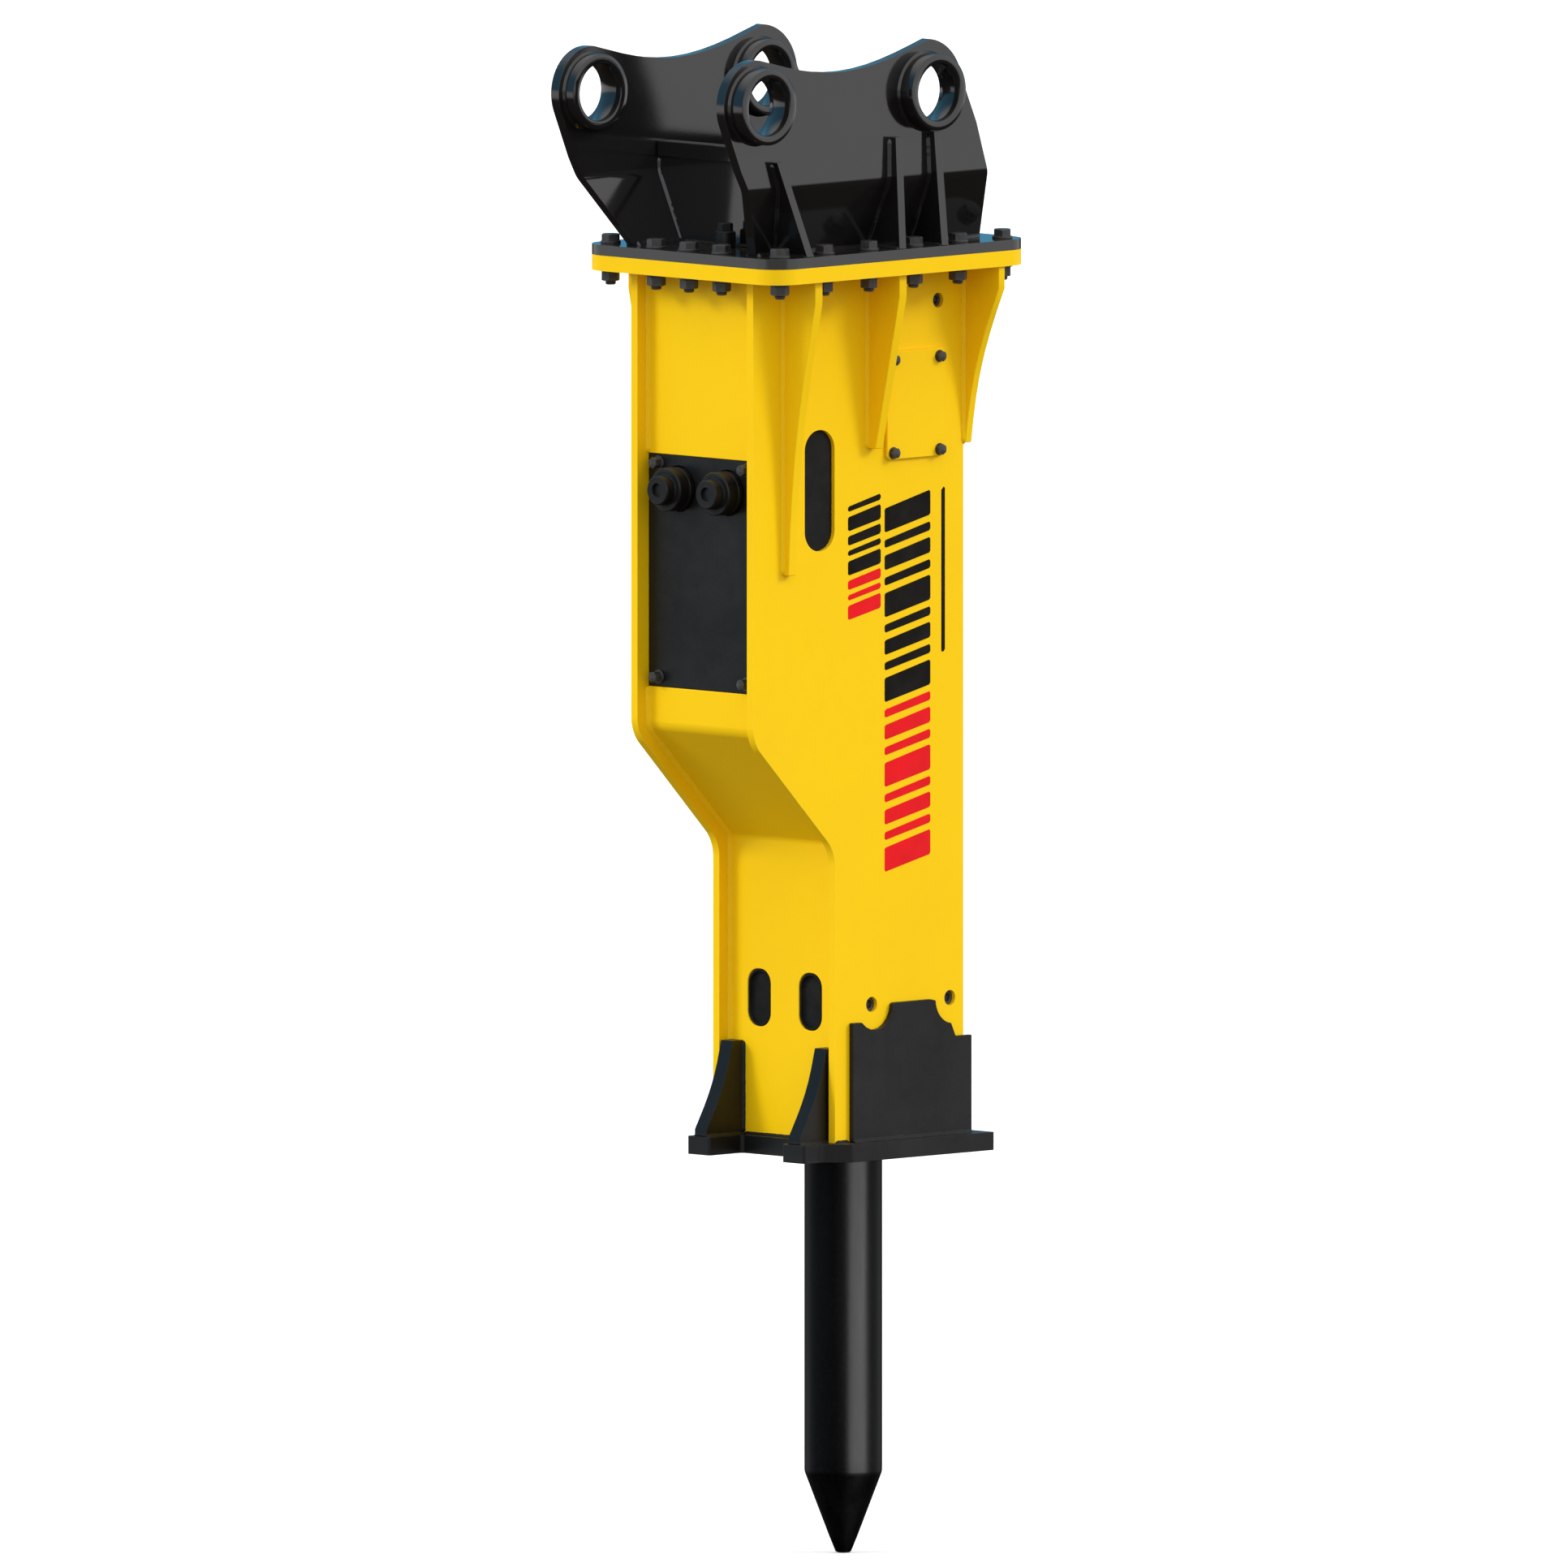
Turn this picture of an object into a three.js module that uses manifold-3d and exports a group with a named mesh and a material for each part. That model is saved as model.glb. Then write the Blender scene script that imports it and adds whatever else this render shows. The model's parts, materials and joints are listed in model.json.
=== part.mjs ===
// Hydraulic breaker hammer in a box housing, with a pin-on bracket for an excavator arm.
//
// Millimetres, +Z up. X is the width, -Y is the side with the hose ports. Inside this file
// heights start at the tip of the tool and the tool's axis is X = Y = 0. The last lines move
// the whole assembly so that its origin is the point midway between the two arm pins.

import * as THREE from 'three';
import { mergeVertices } from 'three/addons/utils/BufferGeometryUtils.js';
import Module from 'manifold-3d';

const wasm = await Module();
wasm.setup();

// ---- Driving dimensions -------------------------------------------------------------------

const GAP = 0.3; // left between pieces that touch
const CORNER_STEPS = 4; // straight steps in one rounded corner
const FINE_STEPS = 9; // the same for the large corners of plates
const ROUND = 20; // sides of a round piece
const FINE_ROUND = 24; // sides of the tool, the bosses and what fits round them
const SMALL_ROUND = 8; // sides of a bolt or a bolt hole

const TOOL = { radius: 70, top: 1300, coneTop: 146, tipRadius: 14.5, chamfer: 12 };
const LIFT = 90; // how far the tool can be pushed up
const PIN = { radius: 25, y: 83, z: 1002, halfLength: 130, fit: 0.5 }; // tool retaining pins

const BOX = { outerX: 155, innerX: 139, rearY: 150, rearInnerY: 134, bottom: 757, top: 2324 };
const SIDE_FRONT = { upperY: -384, lowerY: -176, stepTop: 1492, stepBottom: 1284, radius: 70 };
const FRONT = { upperY: -357, lowerY: -149, stepTop: 1503, stepBottom: 1295, thick: 14, bend: 30 };
const PANEL = { bottom: 1576, top: 1996, frontY: -356, thick: 12 };
const PORT = { x: 62, z: 1936, baseRadius: 39.5, baseLength: 36, noseRadius: 26.5, noseLength: 20 };

const FLANGE = { halfX: 251, frontY: -420, rearY: 233, corner: 55, bottom: 2324, top: 2352 };
const BASE_TOP = 2371; // top of the bracket's base plate
const BOLT = { radius: 10, washerRadius: 18.5, washer: 4, halfFlats: 15, head: 13, nut: 17, tail: 7 };
const BOLT_ROW = { x: 215, firstY: -376, pitch: 113, count: 6 };
const BOLT_CROSS = { frontY: -392, rearY: 205, pitch: 83 };

const RIB = {
  outerX: 238, thick: 19, lip: 40, toe: 14, hollow: 13,
  frontY: -309, frontZ: 1790, frontFootX: 170, rearY: -95, rearZ: 2006, rearFootX: 177,
};
const FLARE = { thick: 16, bottom: 2001, footX: 160, topX: 245, hollow: 15 };
const WEAR = { thick: 10, frontY: -140, rearY: 162, top: 1003, scallop: 45 };
const FOOT = { thick: 33, halfX: 187, frontY: -165, rearY: 197, prongY: -248, prongIn: 92, prongOut: 149 };
const GUSSET = { inner: 104, outer: 134, topY: -177, topZ: 926, footY: -244, lip: 12, hollow: 9 };

const EAR = { innerX: 200, outerX: 220, bendZ: 2495, bend: 40, baseInnerX: 142, baseOuterX: 163 };
const ARM_PIN = { z: 2649, frontY: -441, rearY: -10, frontLobe: 82, rearLobe: 94 };
const BOSS = { radius: 69, bore: 52, rightFrom: 201, leftFrom: -228, length: 53 };

const CORE = { halfX: 131, halfY: 126, corner: 22 }; // the hammer itself, inside the box
const HEAD = { bottom: 765, top: 1200 };
const CYLINDER_TOP = 1960;
const BACK_HEAD_TOP = 2255;
const BUSH = { inner: 70.5, outer: 92, lowTop: 905, highBottom: 1095, seal: 13 };
const ROD = {
  x: 100, y: 95, radius: 18, fit: 0.5, sides: 16, bottom: 1060, top: 2300, nutHalf: 23.4, nutTop: 2290,
};
const PISTON = {
  bottom: 1390.5, tipRadius: 65, landFrom: 1560, landTo: 1720, land: 72.5, top: 2090.5, tail: 59,
  chamfer: 5, groove: { half: 12, deep: 6 },
};
const RUNNING_FIT = 0.4; // round the piston and the spool
const SLEEVE = { radius: 90, bottom: 1402, top: 1500, boreTop: 1840 }; // the piston's seal retainer
const SPOOL = { y: -230, radius: 30, bottom: 1802, length: 200, grooves: [50, 130], grooveLong: 22 };
const CAP = { radius: 46, plugLong: 50, lidHigh: 15 }; // closes the spool's bore
const GAS_CHAMBER = { radius: 80, roof: 40 };
const GAS_VALVE = { y: 23, z: 2080, stem: 11.5, fit: 0.5, innerX: 92, hex: 15, capHigh: 6 };
const ACCUMULATOR = {
  z: 1645, radius: 80, neck: 48, neckLong: 90, bodyFrom: 100, bodyTo: 160, endRadius: 58,
};
const DAMPER = { halfX: 120, halfY: 64 };
const VALVE = { halfX: 95, frontY: -330, bottom: 1760, top: 2080 };

// ---- Materials ----------------------------------------------------------------------------

const paint = (color, roughness, metalness = 0.1) =>
  new THREE.MeshStandardMaterial({ color, roughness, metalness });
const yellow = paint(0xf2cb12, 0.38);
const black = paint(0x262524, 0.55);
const glossBlack = paint(0x1c1c1d, 0.22);
const toolSteel = paint(0x151515, 0.35, 0.7);
const castSteel = paint(0x55585c, 0.6, 0.6);
const bright = paint(0xb8babc, 0.25, 0.95);
const bronze = paint(0xa87c3a, 0.4, 0.9);
const rubber = paint(0x111111, 0.85, 0);

// ---- Making and joining solids ------------------------------------------------------------

function toSolid(geometry) {
  geometry.deleteAttribute('normal');
  geometry.deleteAttribute('uv');
  const merged = mergeVertices(geometry, 1e-3);
  const index = merged.index.array;
  const kept = [];
  for (let i = 0; i < index.length; i += 3) {
    const [a, b, c] = index.subarray(i, i + 3);
    if (a !== b && b !== c && c !== a) kept.push(a, b, c);
  }
  return new wasm.Manifold(new wasm.Mesh({
    numProp: 3,
    vertProperties: new Float32Array(merged.attributes.position.array),
    triVerts: new Uint32Array(kept),
  }));
}

function piece(name, solid, material) {
  const { vertProperties, triVerts } = solid.getMesh();
  const geometry = new THREE.BufferGeometry();
  geometry.setAttribute('position', new THREE.BufferAttribute(vertProperties, 3));
  geometry.setIndex(new THREE.BufferAttribute(triVerts, 1));
  geometry.computeVertexNormals();
  const mesh = new THREE.Mesh(geometry, material);
  mesh.name = name;
  return mesh;
}

function box([x0, x1], [y0, y1], [z0, z1]) {
  const geometry = new THREE.BoxGeometry(x1 - x0, y1 - y0, z1 - z0);
  geometry.translate((x0 + x1) / 2, (y0 + y1) / 2, (z0 + z1) / 2);
  return toSolid(geometry);
}

// A closed outline from its corners. A corner is [across, up] or [across, up, radius].
function outline(corners) {
  const shape = new THREE.Shape();
  const points = corners.map(([x, y]) => new THREE.Vector2(x, y));
  corners.forEach(([, , radius = 0], i) => {
    const corner = points[i];
    const back = points.at(i - 1).clone().sub(corner).normalize();
    const onward = points[(i + 1) % points.length].clone().sub(corner).normalize();
    const half = Math.acos(back.dot(onward)) / 2;
    const start = corner.clone().addScaledVector(back, radius / Math.tan(half));
    if (i === 0) shape.moveTo(start.x, start.y);
    else shape.lineTo(start.x, start.y);
    if (radius === 0) return;
    const end = corner.clone().addScaledVector(onward, radius / Math.tan(half));
    const middle = back.clone().add(onward).normalize();
    const centre = corner.clone().addScaledVector(middle, radius / Math.sin(half));
    const from = Math.atan2(start.y - centre.y, start.x - centre.x);
    const to = Math.atan2(end.y - centre.y, end.x - centre.x);
    shape.absarc(centre.x, centre.y, radius, from, to, back.cross(onward) > 0);
  });
  return shape;
}

function circle(radius, across = 0, up = 0, sides = ROUND, turn = 0) {
  const points = [];
  for (let i = 0; i < sides; i += 1) {
    const angle = turn + (2 * Math.PI * i) / sides;
    points.push(new THREE.Vector2(across + radius * Math.cos(angle), up + radius * Math.sin(angle)));
  }
  return new THREE.Shape(points);
}

// Extrudes an outline along an axis. Its plane is (Y, Z) for x, (X, Z) for y and (X, Y) for z.
function extrude(axis, shape, from, to, steps = CORNER_STEPS) {
  const geometry = new THREE.ExtrudeGeometry(shape, {
    depth: to - from,
    bevelEnabled: false,
    curveSegments: steps,
  });
  if (axis === 'x') {
    const alongY = new THREE.Vector3(0, 1, 0);
    const alongZ = new THREE.Vector3(0, 0, 1);
    const alongX = new THREE.Vector3(1, 0, 0);
    geometry.applyMatrix4(new THREE.Matrix4().makeBasis(alongY, alongZ, alongX));
    geometry.translate(from, 0, 0);
  } else if (axis === 'y') {
    geometry.rotateX(Math.PI / 2);
    geometry.translate(0, to, 0);
  } else {
    geometry.translate(0, 0, from);
  }
  return toSolid(geometry);
}

function rod(axis, radius, [across, up], from, to, sides = ROUND) {
  return extrude(axis, circle(radius, across, up, sides), from, to);
}

// A turned piece about the Z axis, from its [radius, height] corners, which go upwards outside.
function turned(profile, sides = ROUND) {
  const geometry = new THREE.LatheGeometry(profile.map(([r, z]) => new THREE.Vector2(r, z)), sides);
  geometry.rotateX(Math.PI / 2);
  return toSolid(geometry);
}

function ring(inner, outer, from, to, sides = FINE_ROUND) {
  return turned([[outer, from], [outer, to], [inner, to], [inner, from], [outer, from]], sides);
}

function joined(...solids) {
  return solids.reduce((whole, solid) => whole.add(solid));
}

function cut(solid, ...cutters) {
  return cutters.reduce((whole, cutter) => whole.subtract(cutter), solid);
}

function mirrored(points) {
  return points.map(([x, ...rest]) => [-x, ...rest]).reverse();
}

const assembly = new THREE.Group();
const SIDES = [['right', 1], ['left', -1]];

// A plate with its faces at X = near and far on the right, mirrored on the left.
function sidePlate(shape, near, far, side, steps = CORNER_STEPS) {
  return side > 0 ? extrude('x', shape, near, far, steps) : extrude('x', shape, -far, -near, steps);
}

// A rectangle with rounded corners.
function roundedBox([x0, x1], [y0, y1], radius) {
  return outline([[x0, y0, radius], [x1, y0, radius], [x1, y1, radius], [x0, y1, radius]]);
}

function flatOutline(points, side) {
  return outline(side > 0 ? points : mirrored(points));
}

// ---- Box housing --------------------------------------------------------------------------

const SIDE_SLOT = { y: -215, z: 1937, width: 76, length: 219 };
const HATCH = { y0: -50, y1: 97, z0: 1982, z1: 2177, thick: 7, corner: 9, inset: 26, holeCorner: 10 };
const REAR_HOLE_Y = 115.5; // the rear one of the two small holes low in the side plate
const SIDE_HOLES = [[86, 2262, 13.5], [-PIN.y, PIN.z, 14], [REAR_HOLE_Y, PIN.z, 14]];
const THROUGH = 5; // how far a cutter runs past the plate it cuts
const SIDE_PAD = { halfY: 52, halfZ: 124, corner: 8, behindValve: 10, plugFit: 0.6, sunk: 7 };
const PANEL_TAB = { fromX: 106, thick: 12, onPlate: 20, behindPanel: 40 };
const FRONT_SLOT = { x: 65, halfX: 29, radius: 26, bottom: 953, top: 1057 };

function slotShape({ y, z, width, length }, shrink = 0) {
  const w = width / 2 - shrink;
  const h = length / 2 - shrink;
  return roundedBox([y - w, y + w], [z - h, z + h], w - 1);
}

function buildSidePlates() {
  const { upperY, lowerY, stepTop, stepBottom, radius } = SIDE_FRONT;
  const bottom = BOX.bottom + GAP;
  const top = BOX.top - GAP;
  const edge = outline([
    [lowerY, bottom], [BOX.rearY, bottom], [BOX.rearY, top], [upperY, top],
    [upperY, stepTop, radius], [lowerY, stepBottom, radius],
  ]);
  const { y0, y1, z0, z1, inset, holeCorner } = HATCH;
  const hatchHole = roundedBox([y0 + inset, y1 - inset], [z0 + inset, z1 - inset], holeCorner);
  const roundHoles = SIDE_HOLES.map(([y, z, holeRadius]) => circle(holeRadius, y, z));
  const cutters = [slotShape(SIDE_SLOT), hatchHole, ...roundHoles];
  for (const [word, side] of SIDES) {
    const plate = sidePlate(edge, BOX.innerX, BOX.outerX, side, FINE_STEPS);
    const holes = cutters.map((shape) => (
      sidePlate(shape, BOX.innerX - THROUGH, BOX.outerX + THROUGH, side, FINE_STEPS)
    ));
    assembly.add(piece(`side_plate_${word}`, cut(plate, ...holes), yellow));
  }
}

// A tab behind the service panel that its corner bolts screw into.
function panelTab(side, z0, z1) {
  const { fromX, thick } = PANEL_TAB;
  const across = side > 0 ? [fromX, BOX.innerX - GAP] : [GAP - BOX.innerX, -fromX];
  const back = FRONT.upperY + FRONT.thick;
  return box(across, [back, back + thick], [z0, z1]);
}

function buildFrontPlates() {
  const { upperY, lowerY, stepTop, stepBottom, thick, bend } = FRONT;
  const halfX = BOX.innerX - GAP;
  const bottom = BOX.bottom + GAP;
  const lean = thick * Math.tan(Math.PI / 8);
  const panelBottom = PANEL.bottom - GAP;
  const profile = outline([
    [lowerY, bottom], [lowerY + thick, bottom], [lowerY + thick, stepBottom + lean, bend],
    [upperY + thick, stepTop + lean, bend - thick], [upperY + thick, panelBottom], [upperY, panelBottom],
    [upperY, stepTop, bend], [lowerY, stepBottom, bend - thick],
  ]);
  const { onPlate, behindPanel } = PANEL_TAB;
  let lower = extrude('x', profile, -halfX, halfX, FINE_STEPS);
  for (const [, side] of SIDES) {
    const middle = side * FRONT_SLOT.x;
    const across = [middle - FRONT_SLOT.halfX, middle + FRONT_SLOT.halfX];
    const slot = roundedBox(across, [FRONT_SLOT.bottom, FRONT_SLOT.top], FRONT_SLOT.radius);
    lower = lower.subtract(extrude('y', slot, lowerY - THROUGH, lowerY + thick + THROUGH));
    lower = lower.add(panelTab(side, panelBottom - onPlate, PANEL.bottom + behindPanel));
  }
  assembly.add(piece('front_plate_lower', lower, yellow));

  let upper = box([-halfX, halfX], [upperY, upperY + thick], [PANEL.top + GAP, BOX.top - GAP]);
  for (const [, side] of SIDES) {
    upper = upper.add(panelTab(side, PANEL.top - behindPanel, PANEL.top + onPlate));
  }
  assembly.add(piece('front_plate_upper', upper, yellow));
}

function buildRearPlate() {
  const halfX = BOX.innerX - GAP;
  const plate = box([-halfX, halfX], [BOX.rearInnerY, BOX.rearY], [BOX.bottom + GAP, BOX.top - GAP]);
  assembly.add(piece('rear_plate', plate, yellow));
}

function buildServicePanel() {
  const halfX = BOX.innerX - GAP;
  const { frontY, thick, bottom, top } = PANEL;
  let panel = box([-halfX, halfX], [frontY, frontY + thick], [bottom, top]);
  for (const [, side] of SIDES) {
    const ends = [frontY - THROUGH, frontY + thick + THROUGH];
    panel = panel.subtract(rod('y', PORT.baseRadius + 2, [side * PORT.x, PORT.z], ...ends));
  }
  assembly.add(piece('service_panel', panel, black));
}

function buildHatchCovers() {
  const { y0, y1, z0, z1, thick, corner } = HATCH;
  const shape = roundedBox([y0, y1], [z0, z1], corner);
  for (const [word, side] of SIDES) {
    const cover = sidePlate(shape, BOX.outerX + GAP, BOX.outerX + thick, side);
    assembly.add(piece(`hatch_cover_${word}`, cover, yellow));
  }
}

// Rubber pads that steady the hammer; a boss on each fills the slot in the side plate.
function buildSidePads() {
  const { y, z } = SIDE_SLOT;
  const { halfY, halfZ, corner, behindValve, plugFit, sunk } = SIDE_PAD;
  const body = roundedBox([y - halfY, y + halfY], [z - halfZ, z + halfZ], corner);
  const inner = VALVE.halfX + behindValve;
  for (const [word, side] of SIDES) {
    const backing = sidePlate(body, inner, BOX.innerX - GAP, side);
    const plug = sidePlate(slotShape(SIDE_SLOT, plugFit), inner, BOX.outerX - sunk, side, FINE_STEPS);
    assembly.add(piece(`side_pad_${word}`, backing.add(plug), rubber));
  }
}

// Steps of a rib's hollow outer edge, from its wide top down to its narrow foot.
function hollowEdge(topX, topZ, footX, footZ, hollow, steps = 7) {
  const points = [];
  for (let i = 1; i < steps; i += 1) {
    const t = i / steps;
    const x = topX + (footX - topX) * t - hollow * Math.sin(Math.PI * t);
    points.push([x, topZ + (footZ - topZ) * t]);
  }
  return points;
}

function buildSideRibs() {
  const { outerX, thick, frontY, frontZ, rearY, rearZ, lip, frontFootX, rearFootX, toe, hollow } = RIB;
  const root = BOX.outerX + GAP;
  const top = BOX.top - GAP;
  const lipZ = top - lip;
  const front = [
    [root, frontZ], [frontFootX, frontZ],
    ...hollowEdge(outerX, lipZ, frontFootX, frontZ + toe, hollow).reverse(),
    [outerX, lipZ], [outerX, top], [root, top],
  ];
  const rear = [[root, rearZ], [rearFootX, rearZ], [outerX, lipZ], [outerX, top], [root, top]];
  for (const [word, side] of SIDES) {
    const a = extrude('y', flatOutline(front, side), frontY, frontY + thick);
    const b = extrude('y', flatOutline(rear, side), rearY, rearY + thick);
    assembly.add(piece(`rib_front_${word}`, a, yellow));
    assembly.add(piece(`rib_rear_${word}`, b, yellow));
  }
}

function buildRearFlare() {
  const top = BOX.top - GAP;
  const lipZ = top - RIB.lip;
  const right = [
    [FLARE.footX, FLARE.bottom],
    ...hollowEdge(FLARE.topX, lipZ, FLARE.footX, FLARE.bottom, FLARE.hollow).reverse(),
    [FLARE.topX, lipZ], [FLARE.topX, top],
  ];
  const shape = outline([...right, ...mirrored(right)]);
  const plate = extrude('y', shape, BOX.rearY + GAP, BOX.rearY + FLARE.thick);
  assembly.add(piece('rear_flare_plate', plate, yellow));
}

// ---- Lower end: wear plates, foot and gussets ---------------------------------------------

// Corners of a scallop: an arc of the wear plate's edge round a hole, from one angle to another.
function scallop(y, z, from, to, steps = 8) {
  const points = [];
  for (let i = 0; i <= steps; i += 1) {
    const angle = THREE.MathUtils.degToRad(from + ((to - from) * i) / steps);
    points.push([y + WEAR.scallop * Math.cos(angle), z + WEAR.scallop * Math.sin(angle)]);
  }
  return points;
}

function buildWearPlates() {
  const { frontY, rearY, top, thick } = WEAR;
  const bottom = BOX.bottom + GAP;
  const rearTop = 933;
  const frontTop = 972;
  const shape = outline([
    [frontY, bottom], [rearY, bottom], [rearY, rearTop], [REAR_HOLE_Y + 6, rearTop, 6],
    ...scallop(REAR_HOLE_Y, PIN.z, 263, 182), [59, top, 4], [-34, top, 4],
    ...scallop(-PIN.y, PIN.z, -2, -138), [-127, frontTop], [frontY, frontTop],
  ]);
  for (const [word, side] of SIDES) {
    const plate = sidePlate(shape, BOX.outerX + GAP, BOX.outerX + thick, side);
    assembly.add(piece(`wear_plate_${word}`, plate, black));
  }
}

function buildFoot() {
  const { thick, halfX, frontY, rearY, prongY, prongIn, prongOut } = FOOT;
  const right = [
    [prongIn, frontY, 8], [prongIn, prongY, 5], [prongOut, prongY, 5], [prongOut, -200, 12],
    [halfX, frontY, 12], [halfX, rearY, 3],
  ];
  const plate = extrude('z', outline([...right, ...mirrored(right)]), BOX.bottom - thick, BOX.bottom - GAP);
  const hole = rod('z', TOOL.radius + 6, [0, 0], BOX.bottom - thick - 5, BOX.bottom + 5, FINE_ROUND);
  assembly.add(piece('bottom_plate', plate.subtract(hole), black));
}

function buildFootGussets() {
  const { inner, outer, topY, topZ, footY, lip, hollow } = GUSSET;
  const root = FRONT.lowerY - GAP;
  const bottom = BOX.bottom + GAP;
  const edge = hollowEdge(topY, topZ, footY, bottom + lip, -hollow, 8);
  const shape = outline([
    [root, topZ], [topY, topZ], ...edge, [footY, bottom + lip], [footY, bottom], [root, bottom],
  ]);
  for (const [word, side] of SIDES) {
    assembly.add(piece(`foot_gusset_${word}`, sidePlate(shape, inner, outer, side), black));
  }
}

// ---- Top flange, bracket base plate and their bolts ---------------------------------------

function boltPlaces() {
  const places = [];
  for (const [, side] of SIDES) {
    for (let i = 0; i < BOLT_ROW.count; i += 1) {
      places.push([side * BOLT_ROW.x, BOLT_ROW.firstY + BOLT_ROW.pitch * i]);
    }
  }
  for (const y of [BOLT_CROSS.frontY, BOLT_CROSS.rearY]) {
    for (const i of [-1, 0, 1]) {
      places.push([BOLT_CROSS.pitch * i, y]);
    }
  }
  return places;
}

function drilledPlate(bottom, top) {
  const { halfX, frontY, rearY, corner } = FLANGE;
  const plate = extrude('z', roundedBox([-halfX, halfX], [frontY, rearY], corner), bottom, top, FINE_STEPS);
  const holes = boltPlaces().map((place) => (
    rod('z', BOLT.radius + 1, place, bottom - THROUGH, top + THROUGH, SMALL_ROUND)
  ));
  return cut(plate, ...holes);
}

function hexagon(halfFlats, [x, y]) {
  return circle(halfFlats / Math.cos(Math.PI / 6), x, y, 6);
}

// Bolt, nut and two washers, clamped through the base plate and the flange.
function flangeBolt(place) {
  const { radius, washerRadius, washer, halfFlats, head, nut, tail } = BOLT;
  const seat = BASE_TOP + GAP;
  const under = FLANGE.bottom - GAP;
  const nutBottom = under - washer - nut;
  const hex = hexagon(halfFlats, place);
  return joined(
    rod('z', washerRadius, place, seat, seat + washer),
    extrude('z', hex, seat, seat + washer + head),
    rod('z', radius, place, nutBottom - tail, seat + washer, SMALL_ROUND),
    rod('z', washerRadius, place, under - washer, under),
    extrude('z', hex, nutBottom, under),
  );
}

function buildFlange() {
  assembly.add(piece('top_flange', drilledPlate(FLANGE.bottom, FLANGE.top), yellow));
  assembly.add(piece('bracket_base_plate', drilledPlate(FLANGE.top + GAP, BASE_TOP), glossBlack));
  const lastY = BOLT_ROW.firstY + BOLT_ROW.pitch * (BOLT_ROW.count - 1);
  for (const [word, side] of SIDES) {
    const front = flangeBolt([side * BOLT_ROW.x, BOLT_ROW.firstY]);
    const rear = flangeBolt([side * BOLT_ROW.x, lastY]);
    assembly.add(piece(`flange_bolt_front_${word}`, front, glossBlack));
    assembly.add(piece(`flange_bolt_rear_${word}`, rear, glossBlack));
  }
}

// ---- Bracket ears, bosses and cross plates ------------------------------------------------

// Side view of an ear: a lobe round each pin and a hollow saddle between the lobes.
const EAR_SIDE = {
  footFrontY: -385, footRearY: 183, lobeEnd: 84, rearLobeFrom: 10, frontLobeTo: 202,
  rearEdge: [[147, 2497], [119, 2585]], frontEdge: [[-479, 2531], [-459, 2495]],
  saddleDepth: 39, saddleSteps: 12,
};

function earOutline() {
  const { z, frontY, rearY, frontLobe, rearLobe } = ARM_PIN;
  const { footFrontY, footRearY, rearEdge, frontEdge, lobeEnd, saddleDepth, saddleSteps } = EAR_SIDE;
  const foot = BASE_TOP + GAP;
  const lobeTop = THREE.MathUtils.degToRad(lobeEnd);
  const rearFrom = THREE.MathUtils.degToRad(EAR_SIDE.rearLobeFrom);
  const frontTo = THREE.MathUtils.degToRad(EAR_SIDE.frontLobeTo);
  const shape = new THREE.Shape();
  shape.moveTo(footFrontY, foot);
  shape.lineTo(footRearY, foot);
  rearEdge.forEach(([y, up]) => shape.lineTo(y, up));
  shape.absarc(rearY, z, rearLobe, rearFrom, lobeTop, false);
  const from = shape.currentPoint.clone();
  const to = new THREE.Vector2(frontY + frontLobe * Math.cos(lobeTop), z + frontLobe * Math.sin(lobeTop));
  for (let i = 1; i < saddleSteps; i += 1) {
    const t = i / saddleSteps;
    const sag = saddleDepth * Math.sin(Math.PI * t);
    shape.lineTo(from.x + (to.x - from.x) * t, from.y + (to.y - from.y) * t - sag);
  }
  shape.absarc(frontY, z, frontLobe, lobeTop, frontTo, false);
  frontEdge.forEach(([y, up]) => shape.lineTo(y, up));
  return shape;
}

function earSection(side) {
  const { innerX, outerX, bendZ, bend, baseInnerX, baseOuterX } = EAR;
  const foot = BASE_TOP + GAP;
  const top = ARM_PIN.z + ARM_PIN.rearLobe + THROUGH;
  return flatOutline([
    [baseInnerX, foot], [baseOuterX, foot], [outerX, bendZ, bend], [outerX, top],
    [innerX, top], [innerX, bendZ, bend],
  ], side);
}

// Ribs outside each ear: [Y at the top, Y at the foot, height of the top].
const EAR_RIB = { thick: 17, footX: 246, topX: 236, rootX: 210 };
const SHARED_EAR_RIBS = [[-94.5, -94.5, 2572], [3, 13, 2577]];
const EAR_RIBS = {
  right: [[-396, -329, 2545], ...SHARED_EAR_RIBS],
  left: [[-358, -291, 2545], ...SHARED_EAR_RIBS],
};
const EAR_BOUND = { frontY: -600, rearY: 260, nearX: 100, farX: 260 };

// A rib between the ear and the bolt flange, leaning in the side view.
function earRib(side, [topY, footY, topZ]) {
  const { footX, topX, rootX } = EAR_RIB;
  const { frontY, rearY, nearX, farX } = EAR_BOUND;
  const half = EAR_RIB.thick / 2;
  const foot = BASE_TOP + GAP;
  const middle = (EAR.baseInnerX + EAR.baseOuterX) / 2;
  const corners = [[middle, foot], [footX, foot], [topX, topZ], [rootX, topZ], [rootX, EAR.bendZ]];
  const lean = outline([
    [footY - half, foot - 1], [footY + half, foot - 1], [topY + half, topZ + 1], [topY - half, topZ + 1],
  ]);
  const face = extrude('y', flatOutline(corners, side), frontY, rearY);
  return face.intersect(sidePlate(lean, nearX, farX, side));
}

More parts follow.
